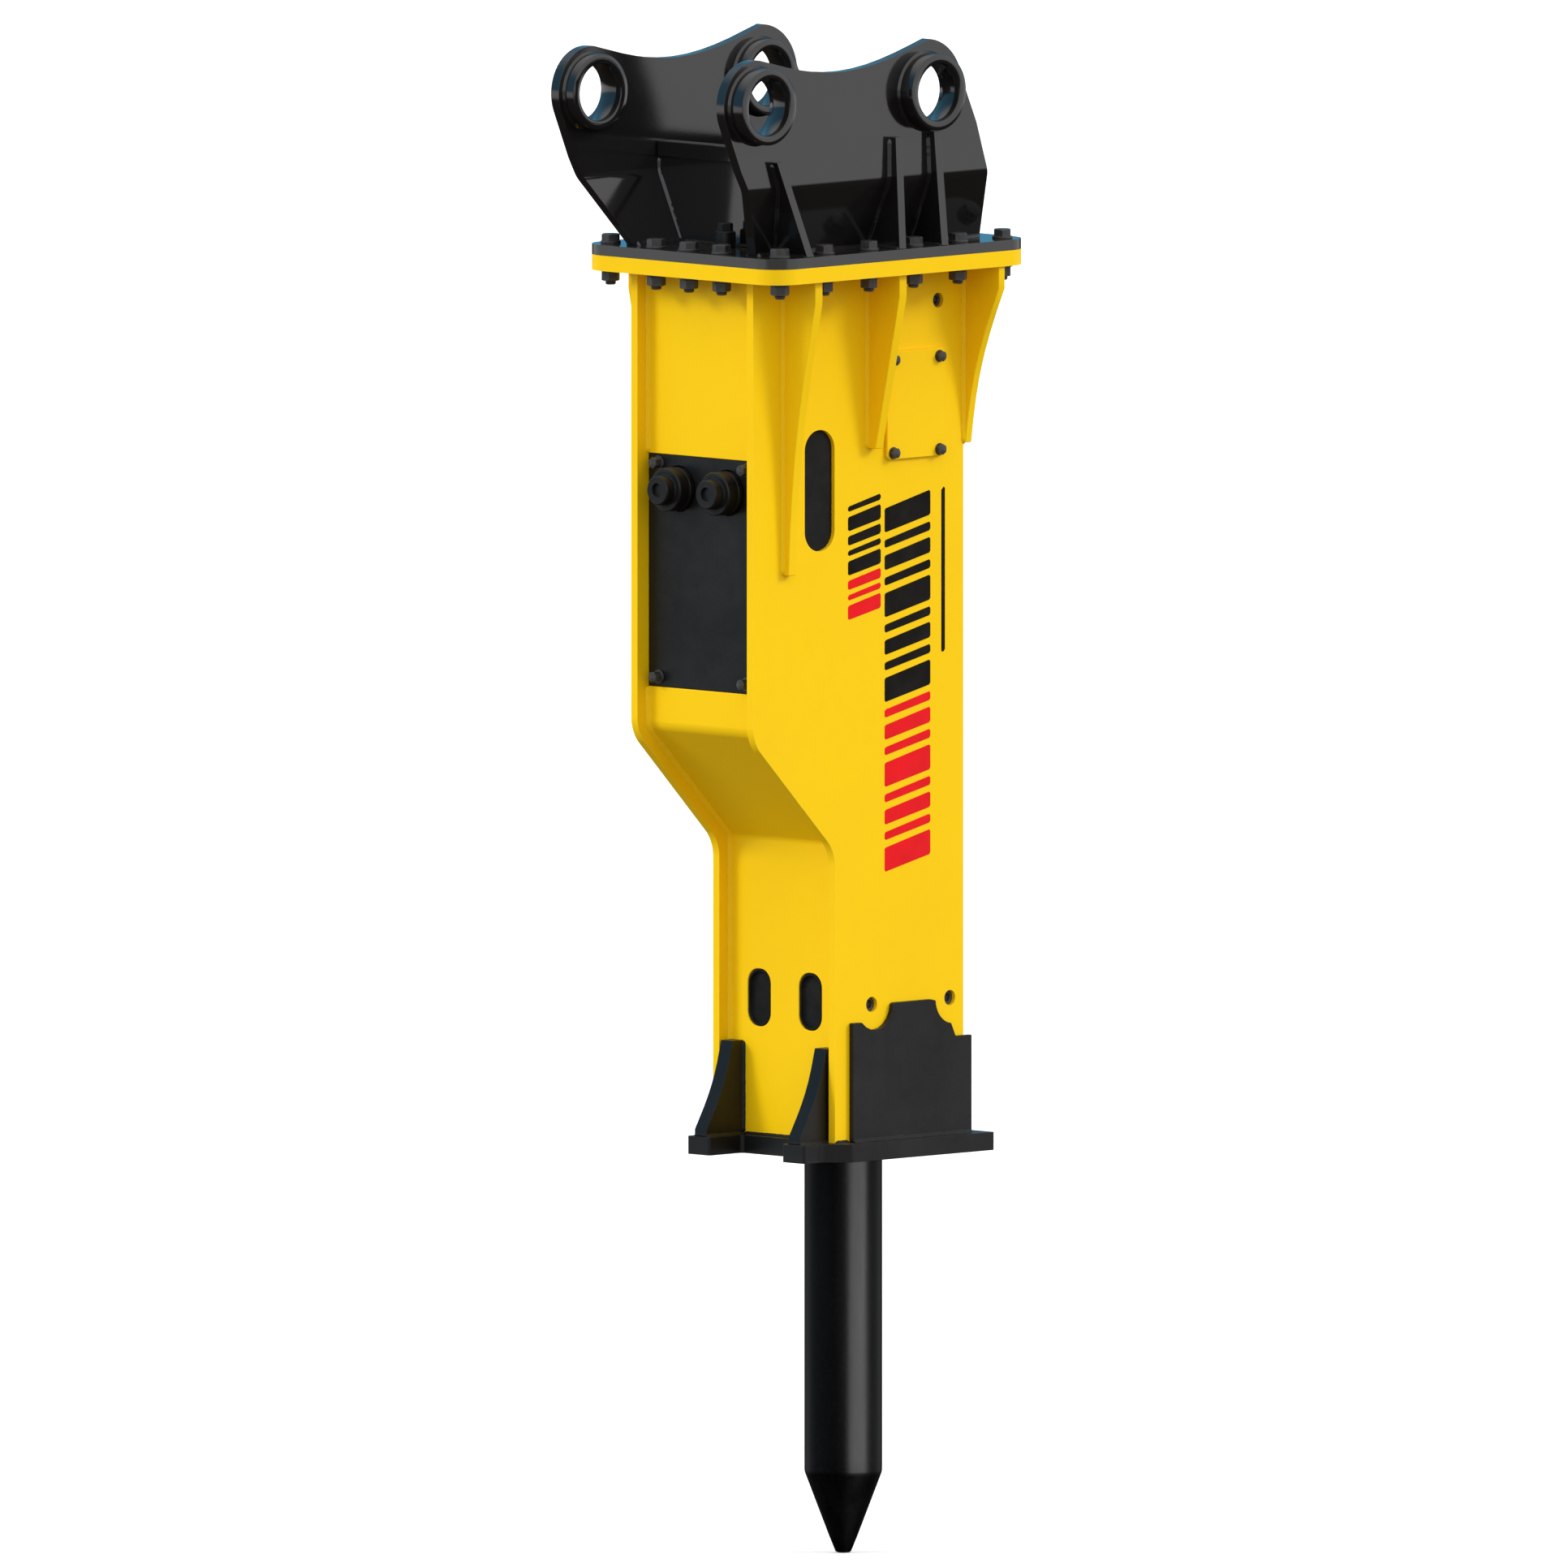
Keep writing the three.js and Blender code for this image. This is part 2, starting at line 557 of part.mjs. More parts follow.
function buildEars() {
  const { frontY, rearY, nearX, farX } = EAR_BOUND;
  const sideView = earOutline();
  for (const [word, side] of SIDES) {
    const bent = extrude('y', earSection(side), frontY, rearY);
    const plate = bent.intersect(sidePlate(sideView, nearX, farX, side, FINE_STEPS));
    const ribs = EAR_RIBS[word].map((rib) => earRib(side, rib));
    const bores = [ARM_PIN.frontY, ARM_PIN.rearY].map((y) => (
      rod('x', BOSS.radius + GAP, [y, ARM_PIN.z], -farX - THROUGH, farX + THROUGH, FINE_ROUND)
    ));
    assembly.add(piece(`ear_${word}`, cut(joined(plate, ...ribs), ...bores), glossBlack));
  }
}

function buildBosses() {
  const rows = [['front', ARM_PIN.frontY], ['rear', ARM_PIN.rearY]];
  const starts = [['right', BOSS.rightFrom], ['left', BOSS.leftFrom]];
  for (const [end, y] of rows) {
    for (const [word, from] of starts) {
      const outer = rod('x', BOSS.radius, [y, ARM_PIN.z], from, from + BOSS.length, FINE_ROUND);
      const ends = [from - THROUGH, from + BOSS.length + THROUGH];
      const bore = rod('x', BOSS.bore, [y, ARM_PIN.z], ...ends, FINE_ROUND);
      assembly.add(piece(`pin_boss_${end}_${word}`, outer.subtract(bore), glossBlack));
    }
  }
}

// A plate that ties the two ears together, with a stiffening bar along its top edge.
const CROSS = { halfThick: 10, barHalf: 17, barHigh: 28, clear: 2.5, bendIn: 7, bendUp: 22 };

function crossPlate(y, topZ) {
  const { halfThick, barHalf, barHigh, clear, bendIn, bendUp } = CROSS;
  const slope = (EAR.innerX - EAR.baseInnerX) / (EAR.bendZ - BASE_TOP);
  const bendX = EAR.innerX - clear;
  const right = [
    [EAR.baseInnerX - clear, BASE_TOP + GAP], [bendX - bendIn, EAR.bendZ - bendIn / slope],
    [bendX, EAR.bendZ + bendUp], [bendX, topZ],
  ];
  const plate = extrude('y', outline([...right, ...mirrored(right)]), y - halfThick, y + halfThick);
  return plate.add(box([-bendX, bendX], [y - barHalf, y + barHalf], [topZ - barHigh, topZ]));
}

function buildCrossPlates() {
  assembly.add(piece('ear_cross_plate_front', crossPlate(-258, 2550), glossBlack));
  assembly.add(piece('ear_cross_plate_rear', crossPlate(62, 2530), glossBlack));
}

const PLUG = { y: -300, radius: 19, shoulder: 30, capRadius: 13, capFrom: 34, high: 45 };

function buildGreasePlug() {
  const { y, radius, shoulder, capRadius, capFrom, high } = PLUG;
  const plug = turned([
    [0, 0], [radius, 0], [radius, shoulder], [capRadius, capFrom], [capRadius, high], [0, high],
  ]);
  assembly.add(piece('grease_plug', plug.translate([0, y, BASE_TOP + GAP]), black));
}

// ---- Hose ports ---------------------------------------------------------------------------

function buildPorts() {
  const { x, z, baseRadius, baseLength, noseRadius, noseLength } = PORT;
  const names = [['pressure_port', 1], ['return_port', -1]];
  for (const [name, side] of names) {
    const place = [side * x, z];
    const base = rod('y', baseRadius, place, PANEL.frontY - baseLength, VALVE.frontY - GAP);
    const nose = rod('y', noseRadius, place, PANEL.frontY - baseLength - noseLength, PANEL.frontY);
    assembly.add(piece(name, base.add(nose), black));
  }
}

// ---- The hammer inside the box ------------------------------------------------------------

function coreOutline() {
  const { halfX, halfY, corner } = CORE;
  return roundedBox([-halfX, halfX], [-halfY, halfY], corner);
}

function rodPlaces() {
  return [[ROD.x, -ROD.y], [-ROD.x, -ROD.y], [ROD.x, ROD.y], [-ROD.x, ROD.y]];
}

// A length of the hammer's square body with the four tie-rod holes and a stepped bore.
function coreBlock(bottom, top, rodsFrom, bores) {
  let block = extrude('z', coreOutline(), bottom, top);
  for (const place of rodPlaces()) {
    block = block.subtract(rod('z', ROD.radius + ROD.fit, place, rodsFrom, top + THROUGH, ROD.sides));
  }
  for (const [radius, from, to] of bores) {
    block = block.subtract(rod('z', radius, [0, 0], from, to, FINE_ROUND));
  }
  return block;
}

function buildFrontHead() {
  const { bottom, top } = HEAD;
  const seat = BUSH.outer + GAP;
  const farX = CORE.halfX + THROUGH;
  let head = coreBlock(bottom, top, ROD.bottom - GAP, [
    [TOOL.radius + 6, bottom - THROUGH, top + THROUGH],
    [seat, bottom - THROUGH, BUSH.lowTop],
    [seat, BUSH.highBottom, top + THROUGH],
  ]);
  for (const [word, side] of [['front', -1], ['rear', 1]]) {
    const place = [side * PIN.y, PIN.z];
    const pin = rod('x', PIN.radius, place, -PIN.halfLength, PIN.halfLength);
    head = head.subtract(rod('x', PIN.radius + PIN.fit, place, -farX, farX));
    assembly.add(piece(`retaining_pin_${word}`, pin, bright));
  }
  assembly.add(piece('front_head', head, castSteel));
}

function buildBushes() {
  const { inner, outer, lowTop, highBottom, seal } = BUSH;
  const bottom = HEAD.bottom + 1;
  assembly.add(piece('dust_seal', ring(inner, outer, bottom, bottom + seal), rubber));
  assembly.add(piece('lower_bush', ring(inner, outer, bottom + seal + GAP, lowTop - GAP), bronze));
  assembly.add(piece('upper_bush', ring(inner, outer, highBottom + GAP, HEAD.top - GAP), bronze));
}

function buildCylinder() {
  const { radius, bottom, top, boreTop } = SLEEVE;
  const bores = [
    [radius + GAP, HEAD.top - THROUGH, top],
    [PISTON.land + RUNNING_FIT, top - THROUGH, boreTop],
    [PISTON.tail + RUNNING_FIT, boreTop - THROUGH, CYLINDER_TOP + THROUGH],
  ];
  const block = coreBlock(HEAD.top + GAP, CYLINDER_TOP, HEAD.top - THROUGH, bores);
  assembly.add(piece('cylinder', block, castSteel));
  const retainer = ring(PISTON.tipRadius + RUNNING_FIT, radius, bottom, top - GAP);
  assembly.add(piece('seal_retainer', retainer, bronze));
}

function buildBackHead() {
  const { y, z, stem, fit, innerX, hex, capHigh } = GAS_VALVE;
  const chamber = [GAS_CHAMBER.radius, CYLINDER_TOP - THROUGH, BACK_HEAD_TOP - GAS_CHAMBER.roof];
  const block = coreBlock(CYLINDER_TOP + GAP, BACK_HEAD_TOP, CYLINDER_TOP - THROUGH, [chamber]);
  const farX = CORE.halfX + THROUGH;
  const bore = rod('x', stem + fit, [y, z], GAS_CHAMBER.radius - THROUGH, farX, SMALL_ROUND);
  assembly.add(piece('back_head', block.subtract(bore), castSteel));
  const shaft = rod('x', stem, [y, z], innerX, CORE.halfX + 2, SMALL_ROUND);
  const cap = extrude('x', hexagon(hex, [y, z]), CORE.halfX + GAP, CORE.halfX + capHigh);
  assembly.add(piece('gas_valve', shaft.add(cap), bright));
}

function buildTieRods() {
  const ends = ['front_right', 'front_left', 'rear_right', 'rear_left'];
  rodPlaces().forEach((place, i) => {
    const shaft = rod('z', ROD.radius, place, ROD.bottom, ROD.top, ROD.sides);
    const nut = extrude('z', hexagon(ROD.nutHalf, place), BACK_HEAD_TOP + GAP, ROD.nutTop);
    assembly.add(piece(`tie_rod_${ends[i]}`, shaft.add(nut), bright));
  });
}

function buildDamper() {
  const { halfX, halfY } = DAMPER;
  const pad = box([-halfX, halfX], [-halfY, halfY], [BACK_HEAD_TOP + GAP, BOX.top - GAP]);
  assembly.add(piece('upper_damper', pad, rubber));
}

function buildValveGear() {
  const { halfX, frontY, bottom, top } = VALVE;
  const boreBottom = SPOOL.bottom - GAP;
  const block = box([-halfX, halfX], [frontY, -CORE.halfY - GAP], [bottom, top]);
  const bore = rod('z', SPOOL.radius + RUNNING_FIT, [0, SPOOL.y], boreBottom, top + THROUGH);
  assembly.add(piece('valve_block', block.subtract(bore), castSteel));
  const shaft = rod('z', SPOOL.radius, [0, SPOOL.y], SPOOL.bottom, SPOOL.bottom + SPOOL.length);
  const grooves = SPOOL.grooves.map((up) => {
    const from = SPOOL.bottom + up;
    const groove = ring(SPOOL.radius - 8, SPOOL.radius + THROUGH, from, from + SPOOL.grooveLong, ROUND);
    return groove.translate([0, SPOOL.y, 0]);
  });
  assembly.add(piece('valve_spool', cut(shaft, ...grooves), bright));
  const plug = rod('z', SPOOL.radius, [0, SPOOL.y], top - CAP.plugLong, top + CAP.lidHigh / 2);
  const lid = rod('z', CAP.radius, [0, SPOOL.y], top + GAP, top + CAP.lidHigh);
  assembly.add(piece('valve_cap', plug.add(lid), castSteel));
}

function buildAccumulator() {
  const { z, radius, neck, neckLong, bodyFrom, bodyTo, endRadius } = ACCUMULATOR;
  const back = -CORE.halfY - GAP;
  const long = back - VALVE.frontY;
  const shell = turned([
    [0, 0], [neck, 0], [neck, neckLong], [radius, bodyFrom], [radius, bodyTo], [endRadius, long], [0, long],
  ]);
  const placed = shell.rotate([90, 0, 0]).translate([0, back, z]);
  assembly.add(piece('accumulator', placed, castSteel));
}

// ---- What moves: tool and piston ----------------------------------------------------------

// The tool's two flats leave room for the retaining pins over the whole lift.
function buildTool() {
  const { radius, top, coneTop, tipRadius, chamfer } = TOOL;
  const body = turned([
    [0, 0], [tipRadius, 0], [radius, coneTop], [radius, top - chamfer], [radius - chamfer, top], [0, top],
  ], FINE_ROUND);
  const notchTop = PIN.z + PIN.radius + PIN.fit;
  const notchBottom = PIN.z - PIN.radius - PIN.fit - LIFT;
  const flat = PIN.y - PIN.radius - PIN.fit;
  const outside = radius + THROUGH;
  const notch = (from, to) => box([-outside, outside], [from, to], [notchBottom, notchTop]);
  const tool = cut(body, notch(flat, outside), notch(-outside, -flat));
  assembly.add(piece('chisel', tool, toolSteel));
}

function buildPiston() {
  const { bottom, tipRadius, landFrom, landTo, land, top, tail, chamfer, groove } = PISTON;
  const middle = (landFrom + landTo) / 2;
  const grooveFrom = middle - groove.half;
  const grooveTo = middle + groove.half;
  const grooveRadius = land - groove.deep;
  const piston = turned([
    [0, bottom], [tipRadius - chamfer, bottom], [tipRadius, bottom + chamfer], [tipRadius, landFrom],
    [land, landFrom], [land, grooveFrom], [grooveRadius, grooveFrom],
    [grooveRadius, grooveTo], [land, grooveTo], [land, landTo],
    [tail, landTo], [tail, top - chamfer], [tail - chamfer, top], [0, top],
  ], FINE_ROUND);
  assembly.add(piece('piston', piston, bright));
}

// ---- Assembly -----------------------------------------------------------------------------

buildSidePlates();
buildFrontPlates();
buildRearPlate();
buildServicePanel();
buildHatchCovers();
buildSidePads();
buildSideRibs();
buildRearFlare();
buildWearPlates();
buildFoot();
buildFootGussets();
buildFlange();
buildEars();
buildBosses();
buildCrossPlates();
buildGreasePlug();
buildPorts();
buildFrontHead();
buildBushes();
buildCylinder();
buildBackHead();
buildTieRods();
buildDamper();
buildValveGear();
buildAccumulator();
buildTool();
buildPiston();

assembly.position.set(0, -(ARM_PIN.frontY + ARM_PIN.rearY) / 2, -ARM_PIN.z);
const breaker = new THREE.Group();
breaker.add(assembly);

export default breaker;
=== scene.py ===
"""Looks of the hydraulic breaker hammer: materials, fasteners, welds, decals, floor, light and camera.

Heights and distances in the tables below are millimetres from the tool's tip and the tool's axis,
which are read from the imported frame. Everything that is built is in metres, in the row frame.
"""

import json
import math
import random

import bmesh
import bpy
from mathutils import Matrix, Vector


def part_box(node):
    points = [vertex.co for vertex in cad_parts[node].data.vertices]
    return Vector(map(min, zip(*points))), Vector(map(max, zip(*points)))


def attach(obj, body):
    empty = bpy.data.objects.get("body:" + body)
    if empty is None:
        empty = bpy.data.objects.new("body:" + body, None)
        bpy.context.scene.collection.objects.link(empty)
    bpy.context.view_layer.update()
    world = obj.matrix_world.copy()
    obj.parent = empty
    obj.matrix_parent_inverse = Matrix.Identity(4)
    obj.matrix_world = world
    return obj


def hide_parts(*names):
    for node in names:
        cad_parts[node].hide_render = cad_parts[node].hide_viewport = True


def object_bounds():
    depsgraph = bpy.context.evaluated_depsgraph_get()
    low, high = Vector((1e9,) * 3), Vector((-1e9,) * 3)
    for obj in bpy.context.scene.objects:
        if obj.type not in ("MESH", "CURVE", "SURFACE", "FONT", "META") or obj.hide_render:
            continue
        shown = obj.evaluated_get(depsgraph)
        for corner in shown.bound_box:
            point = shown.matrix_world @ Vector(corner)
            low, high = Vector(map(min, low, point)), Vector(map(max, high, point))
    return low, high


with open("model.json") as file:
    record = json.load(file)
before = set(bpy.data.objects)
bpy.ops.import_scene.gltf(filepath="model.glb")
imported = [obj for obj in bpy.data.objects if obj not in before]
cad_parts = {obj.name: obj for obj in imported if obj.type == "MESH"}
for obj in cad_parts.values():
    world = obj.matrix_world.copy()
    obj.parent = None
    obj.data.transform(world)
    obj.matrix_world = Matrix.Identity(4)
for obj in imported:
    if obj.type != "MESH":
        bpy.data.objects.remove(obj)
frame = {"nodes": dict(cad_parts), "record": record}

MM = 0.001
DEG = math.pi / 180
CAD_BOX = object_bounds()
NODES = frame["nodes"]
SLOT_OF = {part["node"]: part["material_slot"] for part in frame["record"]["subparts"]}
TOOL_LOW, TOOL_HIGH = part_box("chisel")
random.seed(11)

X = Vector((1, 0, 0))
Y = Vector((0, 1, 0))
Z = Vector((0, 0, 1))
SIDES = (("right", 1), ("left", -1))


def at(x, y, z):
    """The point that is x and y millimetres off the tool's axis and z above the tool's tip."""
    middle = (TOOL_LOW + TOOL_HIGH) / 2
    return Vector((middle.x + x * MM, middle.y + y * MM, TOOL_LOW.z + z * MM))


def middle_of(node):
    """The middle of a CAD node's box."""
    low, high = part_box(node)
    return (low + high) / 2


# ---- Materials ------------------------------------------------------------------------------


class Graph:
    """A material with short calls for the nodes that its look needs."""

    def __init__(self, name):
        self.material = bpy.data.materials.new(name)
        self.material.use_nodes = True
        self.nodes = self.material.node_tree.nodes
        self.links = self.material.node_tree.links
        self.shader = self.nodes["Principled BSDF"]
        self.place = self.nodes.new("ShaderNodeTexCoord").outputs["Object"]
        self.normal = None

    def feed(self, socket, value):
        if isinstance(value, bpy.types.NodeSocket):
            self.links.new(value, socket)
        elif isinstance(value, tuple):
            socket.default_value = (*value, 1)
        else:
            socket.default_value = value

    def noise(self, scale, detail=3, roughness=0.55, stretch=(1, 1, 1)):
        """Cloudy noise, 0 to 1. A stretch below 1 draws it out along that axis."""
        mapping = self.nodes.new("ShaderNodeMapping")
        mapping.inputs["Scale"].default_value = stretch
        self.links.new(self.place, mapping.inputs["Vector"])
        noise = self.nodes.new("ShaderNodeTexNoise")
        noise.inputs["Scale"].default_value = scale
        noise.inputs["Detail"].default_value = detail
        noise.inputs["Roughness"].default_value = roughness
        self.links.new(mapping.outputs["Vector"], noise.inputs["Vector"])
        return noise.outputs["Fac"]

    def rings(self, scale, distortion=0.4):
        """Bands along Z, as turning marks."""
        wave = self.nodes.new("ShaderNodeTexWave")
        wave.bands_direction = "Z"
        wave.inputs["Scale"].default_value = scale
        wave.inputs["Distortion"].default_value = distortion
        wave.inputs["Detail"].default_value = 2
        self.links.new(self.place, wave.inputs["Vector"])
        return wave.outputs["Fac"]

    def between(self, value, low, high, to_low=0.0, to_high=1.0):
        """Value, stretched so that low to high becomes to_low to to_high."""
        span = self.nodes.new("ShaderNodeMapRange")
        span.interpolation_type = "SMOOTHSTEP"
        self.feed(span.inputs["Value"], value)
        span.inputs["From Min"].default_value = low
        span.inputs["From Max"].default_value = high
        span.inputs["To Min"].default_value = to_low
        span.inputs["To Max"].default_value = to_high
        return span.outputs["Result"]

    def calc(self, operation, a, b):
        node = self.nodes.new("ShaderNodeMath")
        node.operation = operation
        self.feed(node.inputs[0], a)
        self.feed(node.inputs[1], b)
        return node.outputs["Value"]

    def mix(self, share, a, b):
        node = self.nodes.new("ShaderNodeMix")
        node.data_type = "RGBA"
        self.feed(node.inputs["Factor"], share)
        self.feed(node.inputs["A"], a)
        self.feed(node.inputs["B"], b)
        return node.outputs["Result"]

    def upward(self, low=0.5, high=0.95):
        """1 where a face looks up, 0 where it looks sideways or down."""
        geometry = self.nodes.new("ShaderNodeNewGeometry")
        split = self.nodes.new("ShaderNodeSeparateXYZ")
        self.links.new(geometry.outputs["Normal"], split.inputs["Vector"])
        return self.between(split.outputs["Z"], low, high)

    def edges(self, radius):
        """1 along the outer edges of a piece, 0 on its faces."""
        bevel = self.nodes.new("ShaderNodeBevel")
        bevel.samples = 4
        bevel.inputs["Radius"].default_value = radius
        geometry = self.nodes.new("ShaderNodeNewGeometry")
        dot = self.nodes.new("ShaderNodeVectorMath")
        dot.operation = "DOT_PRODUCT"
        self.links.new(bevel.outputs["Normal"], dot.inputs[0])
        self.links.new(geometry.outputs["Normal"], dot.inputs[1])
        return self.between(dot.outputs["Value"], 0.98, 0.8)

    def bump(self, height, depth, strength=1.0):
        node = self.nodes.new("ShaderNodeBump")
        node.inputs["Strength"].default_value = strength
        node.inputs["Distance"].default_value = depth
        self.links.new(height, node.inputs["Height"])
        if self.normal:
            self.links.new(self.normal, node.inputs["Normal"])
        self.normal = node.outputs["Normal"]

    def finish(self, colour, roughness, metallic=0.0, specular=0.5):
        self.feed(self.shader.inputs["Base Color"], colour)
        self.feed(self.shader.inputs["Roughness"], roughness)
        self.shader.inputs["Metallic"].default_value = metallic
        self.shader.inputs["Specular IOR Level"].default_value = specular
        if self.normal:
            self.links.new(self.normal, self.shader.inputs["Normal"])
        return self.material


def paint(name, colour, shade, worn, rough, dust, peel, specular):
    """Sprayed paint: cloudy colour, orange peel, thin edges, a little dust on what looks up."""
    g = Graph(name)
    cloud = g.between(g.noise(2.6, 4), 0.3, 0.7)
    mottle = g.between(g.noise(38, 5, 0.65), 0.35, 0.75)
    tone = g.mix(g.calc("MULTIPLY", cloud, 0.6), colour, shade)
    tone = g.mix(g.calc("MULTIPLY", mottle, 0.25), tone, shade)
    specks = g.between(g.noise(420, 2, 0.5), 0.70, 0.78, 0.0, 0.35)
    tone = g.mix(specks, tone, shade)
    thin = g.calc("MULTIPLY", g.edges(0.003), g.between(g.noise(45, 4), 0.42, 0.62))
    tone = g.mix(g.calc("MULTIPLY", thin, 0.55), tone, worn)
    film = g.calc("MULTIPLY", g.upward(), g.between(g.noise(14, 5, 0.6), 0.25, 0.8, 0.05, dust))
    tone = g.mix(film, tone, (0.30, 0.27, 0.22))
    base_rough = g.between(g.noise(9, 4), 0.25, 0.75, rough * 0.86, rough * 1.18)
    roughness = g.calc("ADD", base_rough, g.calc("MULTIPLY", mottle, rough * 0.12))
    g.bump(g.noise(5, 1), 0.0004, 0.15)
    g.bump(g.noise(330, 2, 0.5), peel, 0.30)
    return g.finish(tone, roughness, specular=specular)


def yellow_paint():
    return paint(
        "yellow_paint", (0.925, 0.592, 0.004), (0.875, 0.545, 0.006), (0.95, 0.68, 0.06),
        rough=0.42, dust=0.08, peel=0.0005, specular=0.09,
    )


def bracket_paint():
    return paint(
        "bracket_paint", (0.009, 0.008, 0.008), (0.006, 0.006, 0.006), (0.03, 0.03, 0.032),
        rough=0.09, dust=0.03, peel=0.00015, specular=0.80,
    )


def black_paint():
    return paint(
        "black_paint", (0.0065, 0.0060, 0.0056), (0.0042, 0.0040, 0.0040), (0.035, 0.035, 0.036),
        rough=0.42, dust=0.05, peel=0.0005, specular=0.33,
    )


def bolt_steel():
    """Black-oxide fasteners with bright corners and a trace of oil."""
    g = Graph("bolt_steel")
    stain = g.between(g.noise(160, 5, 0.6), 0.3, 0.7)
    tone = g.mix(stain, (0.030, 0.029, 0.028), (0.052, 0.050, 0.048))
    tone = g.mix(g.calc("MULTIPLY", g.edges(0.0015), 0.5), tone, (0.12, 0.12, 0.12))
    g.bump(g.noise(900, 3), 0.0002, 0.4)
    g.bump(g.rings(700), 0.0001, 0.2)
    return g.finish(tone, g.between(stain, 0, 1, 0.32, 0.48), metallic=0.1, specular=0.5)


def tool_steel():
    """Forged, blackened and oiled bar with turning marks."""
    g = Graph("tool_steel")
    streak = g.between(g.noise(26, 5, 0.6, (1, 1, 0.05)), 0.3, 0.72)
    tone = g.mix(streak, (0.0006, 0.0006, 0.0006), (0.0022, 0.0022, 0.0023))
    scale = g.between(g.noise(120, 5, 0.7), 0.45, 0.8, 0.0, 0.5)
    tone = g.mix(scale, tone, (0.0060, 0.0056, 0.0052))
    roughness = g.calc("ADD", g.between(streak, 0, 1, 0.29, 0.36), g.calc("MULTIPLY", scale, 0.10))
    g.bump(g.rings(210, 0.6), 0.0002, 0.22)
    g.bump(g.noise(240, 4, 0.6), 0.0003, 0.18)
    return g.finish(tone, roughness, specular=0.06)


def bare_metal(name, light, dark, rough, grain, stretch, metallic=1.0):
    """Cast, ground or turned metal: the grain and its stretch say which."""
    g = Graph(name)
    broad = g.between(g.noise(9, 4), 0.3, 0.7)
    fine = g.between(g.noise(grain, 4, 0.65, stretch), 0.3, 0.7)
    tone = g.mix(g.calc("MULTIPLY", g.calc("ADD", broad, fine), 0.5), light, dark)
    tone = g.mix(g.between(g.noise(60, 5, 0.7), 0.62, 0.8, 0.0, 0.4), tone, dark)
    g.bump(g.noise(grain, 3, 0.6, stretch), 0.0004, 0.35)
    return g.finish(tone, g.between(fine, 0, 1, rough, rough + 0.16), metallic=metallic)


def rubber():
    g = Graph("rubber")
    bloom = g.between(g.noise(30, 5, 0.6), 0.35, 0.8)
    tone = g.mix(bloom, (0.009, 0.009, 0.009), (0.018, 0.018, 0.018))
    g.bump(g.noise(500, 3), 0.0003, 0.5)
    return g.finish(tone, g.between(bloom, 0, 1, 0.62, 0.8), specular=0.14)


def vinyl(name, colour, shade):
    """Adhesive film: nearly even colour, faint ripples where it was pressed on."""
    g = Graph(name)
    tone = g.mix(g.between(g.noise(20, 4), 0.3, 0.75), colour, shade)
    tone = g.mix(g.between(g.noise(260, 3), 0.66, 0.78, 0.0, 0.3), tone, shade)
    g.bump(g.noise(45, 2, 0.5, (1, 1, 0.4)), 0.0006, 0.2)
    g.bump(g.noise(700, 2), 0.0001, 0.3)
    return g.finish(tone, g.between(g.noise(12, 3), 0.3, 0.7, 0.45, 0.6), specular=0.06)


def studio_floor():
    g = Graph("studio_floor")
    tone = g.mix(g.between(g.noise(0.7, 3), 0.3, 0.7), (0.90, 0.90, 0.90), (0.87, 0.87, 0.87))
    g.bump(g.noise(60, 2), 0.0003, 0.1)
    return g.finish(tone, 0.8, specular=0.1)


LOOKS = {
    "yellow_paint": yellow_paint(),
    "black_paint": black_paint(),
    "bracket_paint": bracket_paint(),
    "bolt_steel": bolt_steel(),
    "rubber": rubber(),
    "cast_steel": bare_metal(
        "cast_steel", (0.10, 0.10, 0.105), (0.05, 0.05, 0.052), 0.5, 320, (1, 1, 1), 0.6,
    ),
    "ground_steel": bare_metal(
        "ground_steel", (0.58, 0.58, 0.59), (0.44, 0.44, 0.46), 0.18, 300, (1, 1, 0.04),
    ),
    "bronze": bare_metal(
        "bronze", (0.58, 0.36, 0.14), (0.40, 0.24, 0.09), 0.28, 260, (1, 1, 6),
    ),
    "tool_steel": tool_steel(),
}
DECAL_RED = vinyl("decal_red", (0.80, 0.012, 0.018), (0.70, 0.012, 0.016))
DECAL_BLACK = vinyl("decal_black", (0.008, 0.007, 0.006), (0.014, 0.012, 0.010))


# ---- Building pieces ------------------------------------------------------------------------

SHARP = 32 * DEG
ROUND = 64  # sides of a small round piece
FINE_ROUND = 128  # sides of a large one


